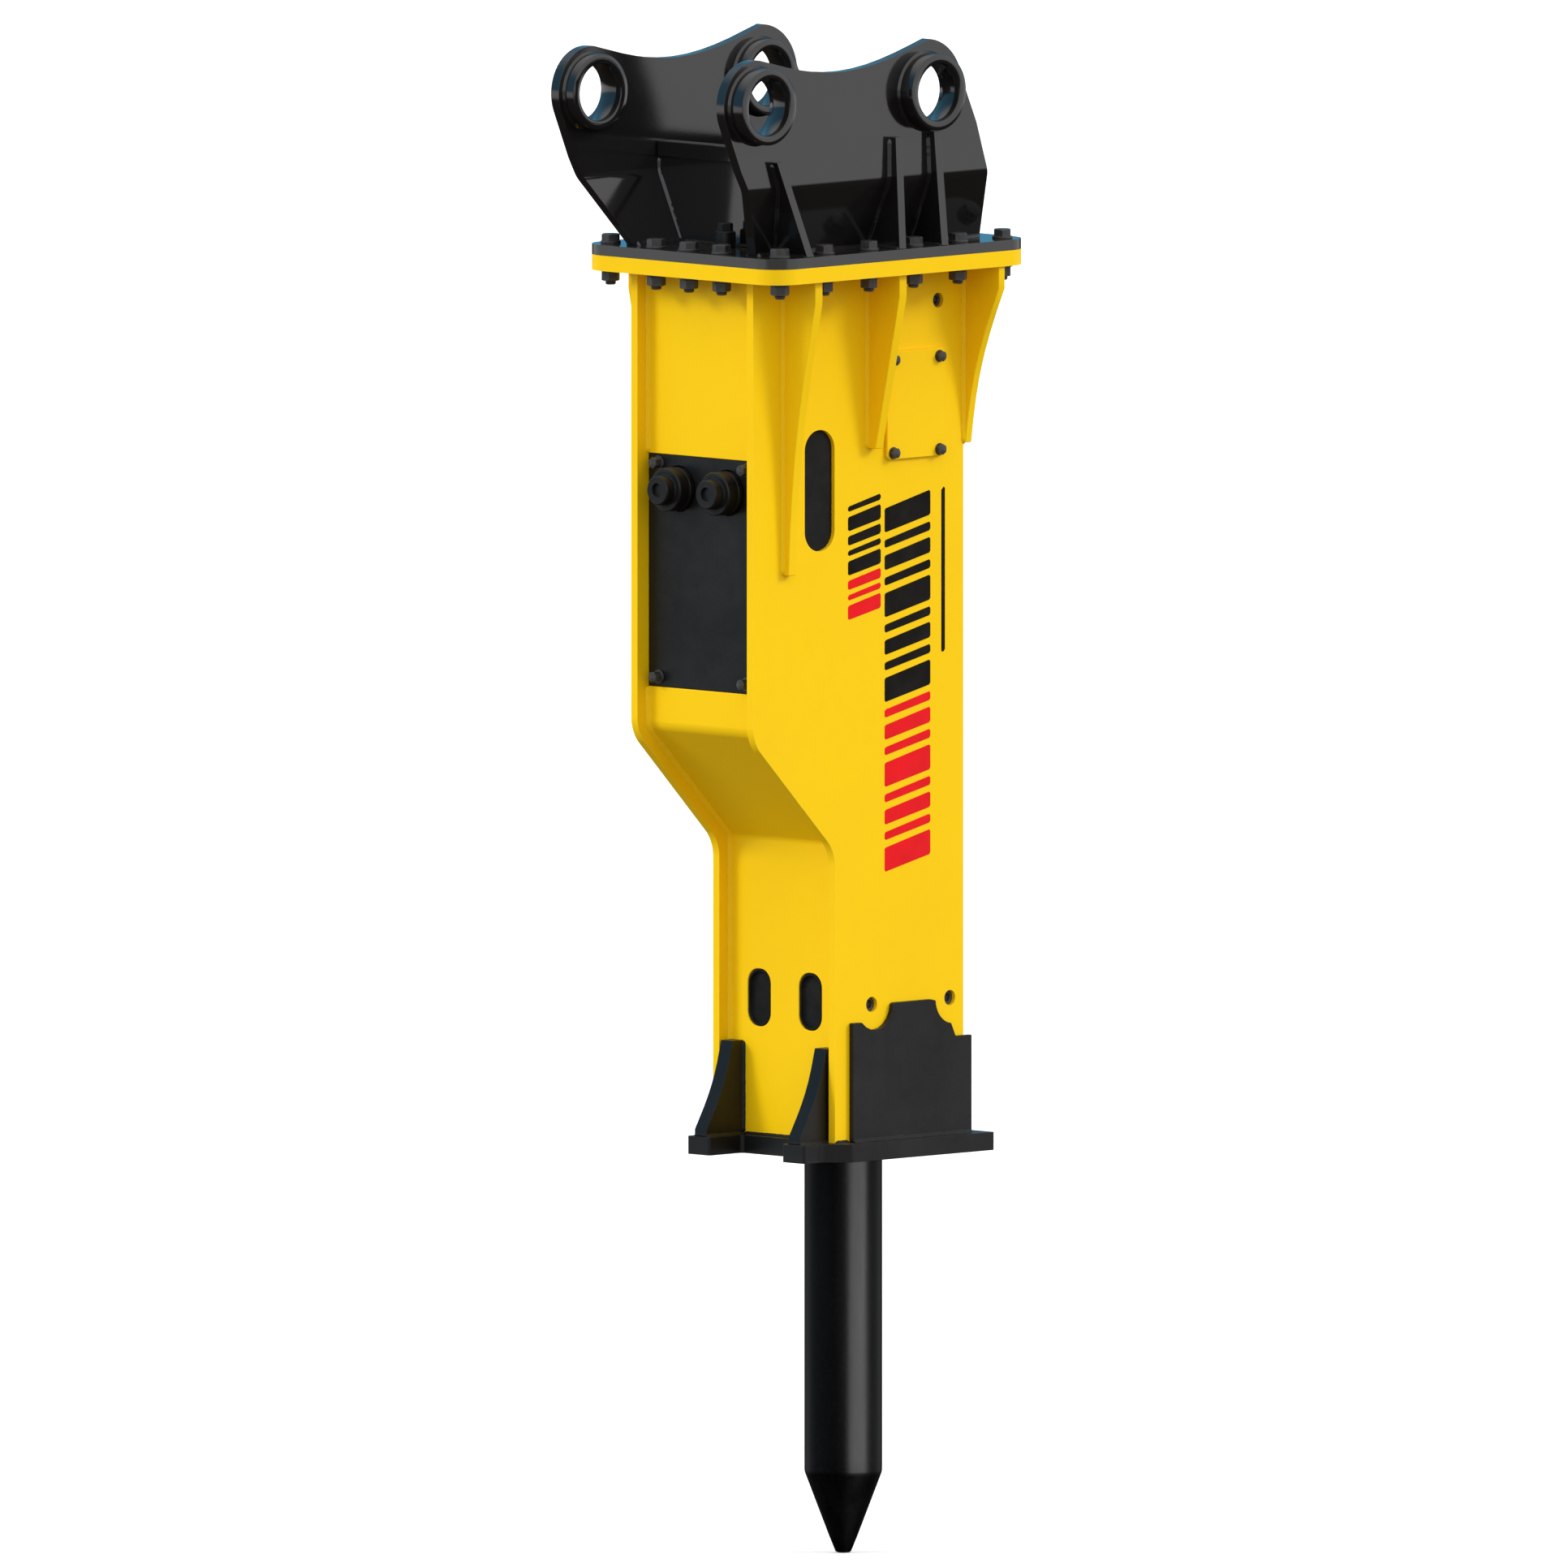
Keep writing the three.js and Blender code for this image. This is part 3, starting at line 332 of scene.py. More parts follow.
class Shape:
    """Points and faces, in millimetres unless said otherwise, gathered into one mesh."""

    def __init__(self):
        self.points = []
        self.faces = []

    def loft(self, rings, closed=False):
        """Joins rings of points by faces: the last to the first, or with a face at each end."""
        start = len(self.points)
        count = len(rings[0])
        for ring in rings:
            self.points += ring
        turns = len(rings) if closed else len(rings) - 1
        for r in range(turns):
            here = start + r * count
            there = start + ((r + 1) % len(rings)) * count
            for i in range(count):
                j = (i + 1) % count
                self.faces.append((here + i, here + j, there + j, there + i))
        if not closed:
            last = start + (len(rings) - 1) * count
            self.faces.append(tuple(start + i for i in reversed(range(count))))
            self.faces.append(tuple(last + i for i in range(count)))
        return self

    def turned(self, profile, sides=ROUND, closed=False):
        """A piece turned about Z from its (radius, height) corners."""
        rings = []
        for radius, height in profile:
            rings.append([
                Vector((radius * math.cos(a), radius * math.sin(a), height))
                for a in (2 * math.pi * i / sides for i in range(sides))
            ])
        return self.loft(rings, closed)

    def hexagon(self, half_flats, low, high, chamfer_low=True):
        """A bolt head or nut, with the curved chamfers that turning leaves on its corners."""
        flat = half_flats * 0.95
        slope = math.tan(30 * DEG)
        sides = 48
        radii = []
        for i in range(sides):
            off_flat = (2 * math.pi * i / sides + math.pi / 6) % (math.pi / 3) - math.pi / 6
            radii.append(half_flats / math.cos(off_flat))

        def ring(distance, height):
            points = []
            for i in range(sides):
                a = 2 * math.pi * i / sides
                r = distance(radii[i])
                points.append(Vector((r * math.cos(a), r * math.sin(a), height(radii[i]))))
            return points

        rings = []
        if chamfer_low:
            rings.append(ring(lambda r: flat, lambda r: low))
            rings.append(ring(lambda r: r, lambda r: low + (r - flat) * slope))
        else:
            rings.append(ring(lambda r: r, lambda r: low))
        rings.append(ring(lambda r: r, lambda r: high - (r - flat) * slope))
        rings.append(ring(lambda r: flat, lambda r: high))
        return self.loft(rings)

    def mesh(self, name, unit=MM, sharp=SHARP):
        mesh = bpy.data.meshes.new(name)
        mesh.from_pydata([p * unit for p in self.points], [], self.faces)
        gathered = bmesh.new()
        gathered.from_mesh(mesh)
        bmesh.ops.recalc_face_normals(gathered, faces=gathered.faces)
        gathered.to_mesh(mesh)
        gathered.free()
        mesh.shade_smooth()
        mesh.set_sharp_from_angle(angle=sharp)
        return mesh


def put(name, mesh, look, matrix=None, body="housing", stands_for=()):
    """Places a made mesh, gives it its material and lets it ride on its body."""
    piece = bpy.data.objects.new(name, mesh)
    bpy.context.scene.collection.objects.link(piece)
    if matrix is not None:
        piece.matrix_world = matrix
    if isinstance(look, str):
        look = LOOKS[look]
    if not mesh.materials:
        mesh.materials.append(look)
    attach(piece, body)
    if stands_for:
        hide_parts(*stands_for)
    return piece


def facing(point, axis, turn=0.0):
    """A frame at point with its Z along axis, turned about it."""
    spin = Matrix.Rotation(turn, 4, "Z")
    return Matrix.Translation(point) @ axis.to_track_quat("Z", "Y").to_matrix().to_4x4() @ spin


def rounded(corners, steps=6):
    """An open path through (across, up, radius) corners, rounded, as (across, up) points."""
    path = []
    for i, (a, b, radius) in enumerate(corners):
        here = Vector((a, b))
        if radius == 0 or i in (0, len(corners) - 1):
            path.append(here)
            continue
        back = (Vector(corners[i - 1][:2]) - here).normalized()
        ahead = (Vector(corners[i + 1][:2]) - here).normalized()
        half = math.acos(max(-1, min(1, back.dot(ahead)))) / 2
        start = here + back * (radius / math.tan(half))
        end = here + ahead * (radius / math.tan(half))
        centre = here + (back + ahead).normalized() * (radius / math.sin(half))
        for s in range(steps + 1):
            point = centre + (start - centre).lerp(end - centre, s / steps).normalized() * radius
            path.append(point)
    return path


# ---- CAD pieces that stay: softened edges and their materials ---------------------------------

SOFT_EDGE = {"yellow_paint": 1.6, "black_paint": 1.3, "bracket_paint": 1.8}
OTHER_EDGE = 0.8
SAME_POINT = 0.01  # millimetres
SAME_PLANE = 1.5 * DEG
EDGE_FROM = 31 * DEG


def dress(name, piece):
    """Gives a CAD piece its material, one face per plane and softened edges."""
    slot = SLOT_OF[name]
    piece.data.materials.clear()
    piece.data.materials.append(LOOKS[slot])
    weld = piece.modifiers.new("weld", "WELD")
    weld.merge_threshold = SAME_POINT * MM
    flat = piece.modifiers.new("flat", "DECIMATE")
    flat.decimate_type = "DISSOLVE"
    flat.angle_limit = SAME_PLANE
    bevel = piece.modifiers.new("edge", "BEVEL")
    bevel.width = SOFT_EDGE.get(slot, OTHER_EDGE) * MM
    bevel.segments = 3
    bevel.limit_method = "ANGLE"
    bevel.angle_limit = EDGE_FROM
    normals = piece.modifiers.new("normals", "WEIGHTED_NORMAL")
    normals.weight = 100
    normals.thresh = 0.001
    piece.data.shade_smooth()


# ---- Fasteners --------------------------------------------------------------------------------


def thread(radius, low, high, pitch=2.5):
    """Profile of a threaded end, from its blunt tip at low up to high."""
    profile = [(radius - 2.6, low), (radius - 1.3, low + 1.3)]
    height = low + 1.3
    while height + pitch < high:
        profile.append((radius, height + pitch * 0.35))
        profile.append((radius, height + pitch * 0.5))
        profile.append((radius - 1.3, height + pitch * 0.85))
        profile.append((radius - 1.3, height + pitch))
        height += pitch
    profile.append((radius, high))
    return profile


def disc(radius, low, high, bevel=0.6):
    """Profile of a washer without its hole."""
    return [(radius - bevel, low), (radius, low + bevel), (radius, high - bevel), (radius - bevel, high)]


FLANGE_BOLT = {
    "radius": 10, "washer": 18.4, "thick": 4, "flats": 14.9, "head": 13, "nut": 17, "tail": 6.9,
}


def flange_bolt_mesh():
    """Bolt, nut and two washers, with Z = 0 on the bracket's base plate."""
    b = FLANGE_BOLT
    grip = (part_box("bracket_base_plate")[1].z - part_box("top_flange")[0].z) / MM
    shape = Shape()
    shape.turned(disc(b["washer"], 0.1, b["thick"]))
    shape.hexagon(b["flats"], b["thick"], b["thick"] + b["head"], chamfer_low=False)
    shape.turned(disc(b["washer"], -grip - b["thick"], -grip - 0.1))
    nut_bottom = -grip - b["thick"] - b["nut"]
    shape.hexagon(b["flats"], nut_bottom, -grip - b["thick"])
    shape.turned(thread(b["radius"], nut_bottom - b["tail"], nut_bottom + 2), 40)
    return shape.mesh("flange_bolt")


SIDE_ROW = 6  # bolts along each side of the flange
CROSS_ROWS_Y = (-392, 205)
CROSS_ROW_X = (-83, 0, 83)


def flange_bolts():
    mesh = flange_bolt_mesh()
    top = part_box("bracket_base_plate")[1].z
    last = SIDE_ROW - 1
    places = []
    for word, _ in SIDES:
        front = middle_of(f"flange_bolt_front_{word}")
        rear = middle_of(f"flange_bolt_rear_{word}")
        ends = {0: (f"flange_bolt_front_{word}",), last: (f"flange_bolt_rear_{word}",)}
        for i in range(SIDE_ROW):
            places.append((front.lerp(rear, i / last), ends.get(i, ())))
    for y in CROSS_ROWS_Y:
        for x in CROSS_ROW_X:
            places.append((at(x, y, 0), ()))
    for i, (spot, stands_for) in enumerate(places):
        spot.z = top
        turn = random.uniform(0, math.pi)
        name = f"bolt_{i + 1:02d}"
        put(name, mesh, "bolt_steel", facing(spot, Z, turn), stands_for=stands_for)


def cover_bolt_mesh(name, flats, head, washer, thick):
    """A hexagon-head bolt on a washer, standing on a cover."""
    shape = Shape()
    shape.turned(disc(washer, 0.05, thick, 0.4), 48)
    shape.turned([(flats * 1.02, thick), (flats * 1.02, thick + 0.8), (flats * 0.9, thick + 1.0)], 48)
    shape.hexagon(flats, thick + 0.9, thick + head, chamfer_low=False)
    dish = flats * 0.5
    top = thick + head
    shape.turned([(dish, top), (dish - 0.8, top + 0.35), (1.0, top + 0.4)], 32)
    return shape.mesh(name)


PANEL_BOLT = {"flats": 9.0, "head": 15.5, "washer": 12.5, "thick": 3}
HATCH_BOLT = {"flats": 8.6, "head": 8, "washer": 11, "thick": 2}
PANEL_INSET = {"across": 27 * MM, "low": 18 * MM, "high": 16 * MM}
HATCH_INSET = {"across": 15 * MM, "low": 12 * MM, "high": 15 * MM}


def corner_spots(start, end, low, high, inset):
    """The four (across, up) places near a cover's corners."""
    across = (start + inset["across"], end - inset["across"])
    up = (low + inset["low"], high - inset["high"])
    return [(a, z) for z in up for a in across]


def cover_bolts():
    panel_bolt = cover_bolt_mesh("panel_bolt", **PANEL_BOLT)
    low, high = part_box("service_panel")
    for i, (x, z) in enumerate(corner_spots(low.x, high.x, low.z, high.z, PANEL_INSET)):
        turn = random.uniform(0, 1)
        matrix = facing(Vector((x, low.y, z)), -Y, turn)
        put(f"panel_bolt_{i + 1}", panel_bolt, "bolt_steel", matrix)
    hatch_bolt = cover_bolt_mesh("hatch_bolt", **HATCH_BOLT)
    for word, side in SIDES:
        low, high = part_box(f"hatch_cover_{word}")
        outer = high.x if side > 0 else low.x
        for i, (y, z) in enumerate(corner_spots(low.y, high.y, low.z, high.z, HATCH_INSET)):
            turn = random.uniform(0, 1)
            matrix = facing(Vector((outer, y, z)), X * side, turn)
            put(f"hatch_bolt_{word}_{i + 1}", hatch_bolt, "bolt_steel", matrix)


# ---- Hose ports, bosses, plug and tool -----------------------------------------------------


PORT_PROFILE = [  # (radius, distance out of the service panel)
    (37.6, -8), (37.6, 0.4), (39.4, 1.6), (39.4, 9), (38.2, 10), (38.2, 12), (39.4, 13), (39.4, 33.5),
    (37.4, 36), (31.5, 36), (30.5, 35.2), (29.0, 35.2), (28.0, 36), (26.6, 36.6), (26.4, 38),
    (26.4, 53.5), (24.2, 55.8), (13.5, 55.8), (12.6, 55.0), (12.0, 49.5),
]


def hose_ports():
    """Capped unions: a grooved body, a narrower cap and a round hollow in the cap's end."""
    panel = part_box("service_panel")[0].y
    for name in ("pressure_port", "return_port"):
        shape = Shape().turned(PORT_PROFILE, 96)
        spot = middle_of(name)
        spot.y = panel
        mesh = shape.mesh(f"{name}_cap")
        put(f"{name}_cap", mesh, "black_paint", facing(spot, -Y), stands_for=(name,))


PIN_BOSS = {"outer": 69.0, "bore": 52.0, "inner_edge": 1.5, "outer_edge": 1.2}


def pin_bosses():
    """Turned rings with softened edges, one in each CAD boss's place."""
    outer = PIN_BOSS["outer"]
    bore = PIN_BOSS["bore"]
    inner_edge = PIN_BOSS["inner_edge"]
    outer_edge = PIN_BOSS["outer_edge"]
    for end in ("front", "rear"):
        for word, _ in SIDES:
            node = f"pin_boss_{end}_{word}"
            low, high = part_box(node)
            long = (high.x - low.x) / MM
            profile = [
                (bore, inner_edge), (bore + inner_edge, 0.0), (outer - outer_edge, 0.0), (outer, outer_edge),
                (outer, long - outer_edge), (outer - outer_edge, long), (bore + inner_edge, long),
                (bore, long - inner_edge),
            ]
            spot = middle_of(node)
            spot.x = low.x
            name = f"boss_{end}_{word}"
            ring = Shape().turned(profile, FINE_ROUND, closed=True)
            mesh = ring.mesh(name, sharp=50 * DEG)
            put(name, mesh, "bracket_paint", facing(spot, X), stands_for=(node,))


def grease_plug():
    """A round cap with a hexagon on top."""
    spot = middle_of("grease_plug")
    spot.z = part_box("grease_plug")[0].z
    cap_top = 30
    shape = Shape()
    shape.turned([(17.5, 0), (19, 1.5), (19, 26), (18.2, 28.5), (15.5, cap_top)], 72)
    shape.hexagon(12.4, cap_top, 44.5, chamfer_low=False)
    mesh = shape.mesh("grease_plug_cap")
    put("grease_plug_cap", mesh, "black_paint", facing(spot, Z, 0.4), stands_for=("grease_plug",))


TOOL_RADIUS = (TOOL_HIGH.x - TOOL_LOW.x) / 2 / MM
TOOL_LENGTH = (TOOL_HIGH.z - TOOL_LOW.z) / MM
TOOL_POINT = {"radius": 14.5, "top": 146}
TOOL_FLAT = {"off_axis": 57.5, "low": 886.5, "high": 1027.5}
TOOL_SHARP = 40 * DEG


def tool_profile():
    """Blunt tip, cone, straight shank and rounded striking end, as (radius, height)."""
    radius = TOOL_RADIUS
    top = TOOL_LENGTH
    tip = TOOL_POINT["radius"]
    cone_top = TOOL_POINT["top"]
    profile = [(tip - 3.5, 0.02), (tip - 1.2, 0.5), (tip, 2.2)]
    slope = (radius - tip) / cone_top
    for up in (30, 60, 90, 120, cone_top - 5):
        profile.append((tip + slope * up, up))
    shank_low = cone_top + 3.5
    shank_high = top - 12
    profile += [(radius - 0.5, cone_top - 0.6), (radius, shank_low)]
    steps = 40
    for i in range(1, steps):
        profile.append((radius, shank_low + (shank_high - shank_low) * i / steps))
    profile += [
        (radius, shank_high), (radius - 1.5, top - 9), (radius - 11, top - 0.6), (radius - 12.5, top),
    ]
    return profile


def flat_cutter(side):
    """What is milled off the tool's side for a retaining pin, with rounded ends."""
    flat = TOOL_FLAT["off_axis"]
    low = TOOL_FLAT["low"]
    high = TOOL_FLAT["high"]
    outside = TOOL_RADIUS + 8
    ring = [
        (outside, low - 10), (flat + 6, low), (flat + 1.5, low + 2), (flat, low + 6),
        (flat, high - 6), (flat + 1.5, high - 2), (flat + 6, high), (outside, high + 10),
    ]
    ends = []
    for x in (-outside, outside):
        ends.append([Vector((x, side * y, z)) for y, z in ring])
    return Shape().loft(ends).mesh("knife")


def chisel():
    """The tool: a turned bar with a blunt point and the two flats for the retaining pins."""
    mesh = Shape().turned(tool_profile(), FINE_ROUND).mesh("tool_bar", sharp=TOOL_SHARP)
    bar = put("tool_bar", mesh, "tool_steel", facing(at(0, 0, 0), Z), "tool", ("chisel",))
    for side in (1, -1):
        knife = bpy.data.objects.new("knife", flat_cutter(side))
        bpy.context.scene.collection.objects.link(knife)
        knife.matrix_world = facing(at(0, 0, 0), Z)
        cut = bar.modifiers.new("cut", "BOOLEAN")
        cut.object = knife
        cut.operation = "DIFFERENCE"
        cut.solver = "EXACT"
        bpy.context.view_layer.update()
        made = bpy.data.meshes.new_from_object(bar.evaluated_get(bpy.context.evaluated_depsgraph_get()))
        bar.modifiers.clear()
        bar.data = made
        bpy.data.objects.remove(knife)
    bar.data.shade_smooth()
    bar.data.set_sharp_from_angle(angle=TOOL_SHARP)


# ---- What shows through the holes ------------------------------------------------------------


def slot_ring(half_across, low, high, steps=16):
    """Corner points of an oblong with round ends, as (across, up)."""
    points = []
    for middle, start in ((high - half_across, 0), (low + half_across, math.pi)):
        for i in range(steps + 1):
            a = start + math.pi * i / steps
            points.append((half_across * math.cos(a), middle + half_across * math.sin(a)))
    return points


FRONT_SLOT = {"off_axis": 65, "half_across": 29, "low": 953, "high": 1057}
SLOT_LIP = (  # (y, how much smaller than the slot)
    (-128, 0.7), (-147.2, 0.7), (-148.2, 1.7), (-148.2, 3.6), (-147.4, 4.6), (-141.5, 5.4),
    (-140.5, 7),
)


def slot_pads():
    """Rubber plugs in the oblong holes low in the front plate: a raised lip round a dished face."""
    slot = FRONT_SLOT
    for word, side in SIDES:
        middle = side * slot["off_axis"]
        rings = []
        for y, shrink in SLOT_LIP:
            ring = slot_ring(slot["half_across"] - shrink, slot["low"] + shrink, slot["high"] - shrink)
            rings.append([at(middle + a, y, up) / MM for a, up in ring])
        name = f"front_slot_pad_{word}"
        put(name, Shape().loft(rings).mesh(name), "rubber")


SIDE_HOLES = ((86, 2262, 13.5), (-83, 1002, 14), (115.5, 1002, 14))  # (y, z, radius)
SHADE_PLUG_FACE = 148  # distance of the plugs' faces from the middle of the housing


def hole_shade_plugs():
    """Dark recessed socket plugs in the small round holes of the side plates, as painted shade: they stand
    in for the shade deep in the holes.
    """
    for word, side in SIDES:
        for i, (y, z, radius) in enumerate(SIDE_HOLES):
            fit = radius - 0.9
            shape = Shape().turned([
                (fit, -9), (fit, -0.8), (fit - 0.8, 0),
                (fit * 0.66, 0), (fit * 0.58, -0.8), (fit * 0.5, -5.5),
            ], 48)
            spot = at(side * SHADE_PLUG_FACE, y, z)
            name = f"side_plug_{word}_{i + 1}"
            # The plug's dark steel is painted shade: it stands in for the shade deep inside the hole.
            put(name, shape.mesh(name), "bolt_steel", facing(spot, X * side))


# ---- Weld beads -------------------------------------------------------------------------------

BEAD_STEP = 4.0


def resampled(path):
    """The path's points, at even steps, each with its direction."""
    out = []
    for here, ahead in zip(path, path[1:]):
        span = (ahead - here).length
        if span < 1e-6:
            continue
        count = max(1, round(span / BEAD_STEP))
        direction = (ahead - here) / span
        for i in range(count):
            out.append((here.lerp(ahead, i / count), direction))
    out.append((path[-1], out[-1][1]))
    return out


def bead(shape, path, first, second, leg=5.5):
    """A rippled fillet in the corner of two plates, which run off along first and second.

    first and second are directions, or functions that give one from the path's own direction.
    leg is how far the bead reaches along each plate, in millimetres.
    """
    rings = []
    samples = resampled(path)
    for i, (point, direction) in enumerate(samples):
        a = first(direction) if callable(first) else first
        b = second(direction) if callable(second) else second
        size = leg * (1 + random.uniform(-0.06, 0.06))
        if i in (0, len(samples) - 1):
            size *= 0.55
        rings.append([
            point - (a + b) * 0.6,
            point + a * size,
            point + (a * 0.84 + b * 0.30) * size,
            point + (a + b) * 0.56 * size,
            point + (a * 0.30 + b * 0.84) * size,
            point + b * size,
        ])
    shape.loft(rings)


def upright(x, y, low, high):
    """A straight path up a corner."""
    return [Vector((x, y, low)), Vector((x, y, high))]


def across(x0, x1, y, z):
    """A straight level path along X."""
    return [Vector((x0, y, z)), Vector((x1, y, z))]


def lengthwise(x, y0, y1, z):
    """A straight level path along Y."""
    return [Vector((x, y0, z)), Vector((x, y1, z))]


def finish_welds(shape, name, slot):
    shape.points = [at(*p) for p in shape.points]
    put(name, shape.mesh(name, 1.0), slot)


# Where the beads run, in millimetres: faces of the side plates, the front plate, the flange's
# underside, the foot plate's top and the bracket's base plate.
SIDE_INNER = 138.8
SIDE_OUTER = 155.2
SIDE_FACE = 155
BETWEEN_SIDES = 137  # half the length of a bead from side to side
BOX_FOOT = 760
BOX_TOP = 2323
FLANGE_FRONT_Y = -383
FRONT_LOW_Y = -149
FRONT_HIGH_Y = -357
FRONT_HIGH_FOOT = 1998
FRONT_BENDS = [  # (y, z, bend radius)
    (FRONT_LOW_Y, 758, 0), (FRONT_LOW_Y, 1295, 16), (FRONT_HIGH_Y, 1503, 30), (FRONT_HIGH_Y, 1574, 0),
]
REAR_Y = 150
FLARE_FRONT_Y = 150.2
FLARE_REAR_Y = 166
FLARE_FOOT = 2001
FLARE_REACH = 243
UNDER_FLANGE = 2323.6
ON_FOOT = 756.9
ON_BASE = 2371.2
RIB_THICK = 19
SIDE_RIBS = ((-309, 1792), (-95, 2008))  # (front face's y, foot's z)
RIB_TOP = 2322
RIB_REACH = 236
GUSSET_FACES = ((104, -1), (134, 1))  # (distance from the middle, which way the face looks)
GUSSET_FRONT_Y = -243
GUSSET_TOP = 924
WEAR_PLATE_FACE = 165
WEAR_PLATE_Y = (-138, 160)


def square_to(direction):
    """The way out of the front plate, beside a path that runs up it."""
    return Vector((0, -direction.z, direction.y)).normalized()


def housing_welds():
    """Beads of the yellow box."""
    shape = Shape()
    front = rounded(FRONT_BENDS, 8)
    for _, side in SIDES:
        inner = side * SIDE_INNER
        outer = side * SIDE_OUTER
        outward = X * side
        path = [Vector((inner, y, z)) for y, z in front]
        bead(shape, path, -outward, square_to, 6.5)
        bead(shape, upright(inner, FRONT_HIGH_Y, FRONT_HIGH_FOOT, BOX_TOP), -outward, -Y, 6.5)
        top = lengthwise(side * SIDE_FACE, FLANGE_FRONT_Y, REAR_Y, UNDER_FLANGE)
        bead(shape, top, outward, -Z, 7)
        for y, foot in SIDE_RIBS:
            for edge, way in ((y, -Y), (y + RIB_THICK, Y)):
                bead(shape, upright(outer, edge, foot, RIB_TOP), outward, way, 5)
                top = across(side * (SIDE_FACE + 3), side * RIB_REACH, edge, UNDER_FLANGE)
                bead(shape, top, way, -Z, 5)
        bead(shape, upright(outer, FLARE_FRONT_Y, FLARE_FOOT + 2, RIB_TOP), outward, -Y, 5.5)
        top = across(side * (SIDE_FACE + 2), side * FLARE_REACH, FLARE_FRONT_Y, UNDER_FLANGE)
        bead(shape, top, -Y, -Z, 5)
        seam = upright(side * 139, REAR_Y, BOX_FOOT, FLARE_FOOT - 2)
        bead(shape, seam, Vector((1, 0.35, 0)), Vector((-1, 0.35, 0)), 4)
        bead(shape, across(side * (SIDE_FACE + 1), side * 4, REAR_Y + 1, FLARE_FOOT), Y, -Z, 5)
    bead(shape, across(-BETWEEN_SIDES, BETWEEN_SIDES, FRONT_HIGH_Y, UNDER_FLANGE), -Y, -Z, 7)
    bead(shape, across(-FLARE_REACH, FLARE_REACH, FLARE_REAR_Y, UNDER_FLANGE), Y, -Z, 6)
    finish_welds(shape, "housing_welds", "yellow_paint")


def foot_welds():
    """Beads of the black foot."""
    shape = Shape()
    for _, side in SIDES:
        outward = X * side
        for x, way in GUSSET_FACES:
            bead(shape, upright(side * x, FRONT_LOW_Y, BOX_FOOT, GUSSET_TOP), outward * way, -Y, 5)
            foot = lengthwise(side * x, FRONT_LOW_Y - 2, GUSSET_FRONT_Y, ON_FOOT)
            bead(shape, foot, outward * way, Z, 5)
        bead(shape, lengthwise(side * WEAR_PLATE_FACE, *WEAR_PLATE_Y, ON_FOOT), outward, Z, 6)
        bead(shape, lengthwise(side * SIDE_FACE, -175, -142, ON_FOOT), outward, Z, 5)
        short = across(side * BETWEEN_SIDES, side * 136, FRONT_LOW_Y, ON_FOOT)
        short.append(Vector((side * 134, FRONT_LOW_Y, ON_FOOT)))
        bead(shape, short, -Y, Z, 4)
    bead(shape, across(-102, 102, FRONT_LOW_Y, ON_FOOT), -Y, Z, 5)
    bead(shape, across(-153, 153, REAR_Y, ON_FOOT), Y, Z, 6)
    finish_welds(shape, "foot_welds", "black_paint")


ARM_PINS_Y = (-441, -10)
ARM_PINS_Z = 2649
BOSS_FOOT = 68.8
BOSS_LEG = 4.0


def ring_bead(shape, x, y, side):
    """A bead round a boss's foot, on the face of an ear that looks along side."""
    middle = Vector((x, y, ARM_PINS_Z))
    along = X * side
    count = 72
    rings = []
    for i in range(count):
        a = 2 * math.pi * i / count
        point = Vector((x, y + BOSS_FOOT * math.cos(a), ARM_PINS_Z + BOSS_FOOT * math.sin(a)))
        out = (point - middle).normalized()
        size = BOSS_LEG * (1 + random.uniform(-0.07, 0.07))
        rings.append([
            point - (out + along) * 0.6,
            point + out * size,
            point + (out * 0.8 + along * 0.3) * size,
            point + (out + along) * 0.52 * size,
            point + (out * 0.3 + along * 0.8) * size,
            point + along * size,
        ])
    shape.loft(rings, closed=True)


EAR_FOOT = 2371
EAR_ENDS_Y = (-384, 181)
BASE_REACH = 244
EAR_FACES = {"outer": 220, "inner": 200}  # distance of the ears' upright faces from the middle
EAR_OUTER = [  # (x, z, bend radius)
    (163, EAR_FOOT + 0.5, 0), (EAR_FACES["outer"], 2495, 40), (EAR_FACES["outer"], 2600, 0),
]
EAR_INNER = [
    (142, EAR_FOOT + 0.5, 0), (EAR_FACES["inner"], 2495, 40), (EAR_FACES["inner"], 2600, 0),
]
EAR_RIBS = {  # (y at the top, y at the foot, z of the top)
    "right": ((-396, -329, 2545), (-94.5, -94.5, 2572), (3, 13, 2577)),
    "left": ((-358, -291, 2545), (-94.5, -94.5, 2572), (3, 13, 2577)),
}
EAR_RIB_HALF = 8.5
CROSS_PLATES = ((-258, 2520), (62, 2500))  # (y, z of the top)
CROSS_HALF = 10


def up_the_ear(profile, top):
    """The ear's surface from its foot up to a height, as (x, z) points."""
    points = [p for p in rounded(profile, 6) if p.y < top - 2]
    last = Vector((profile[1][0], top))
    return points + [last]


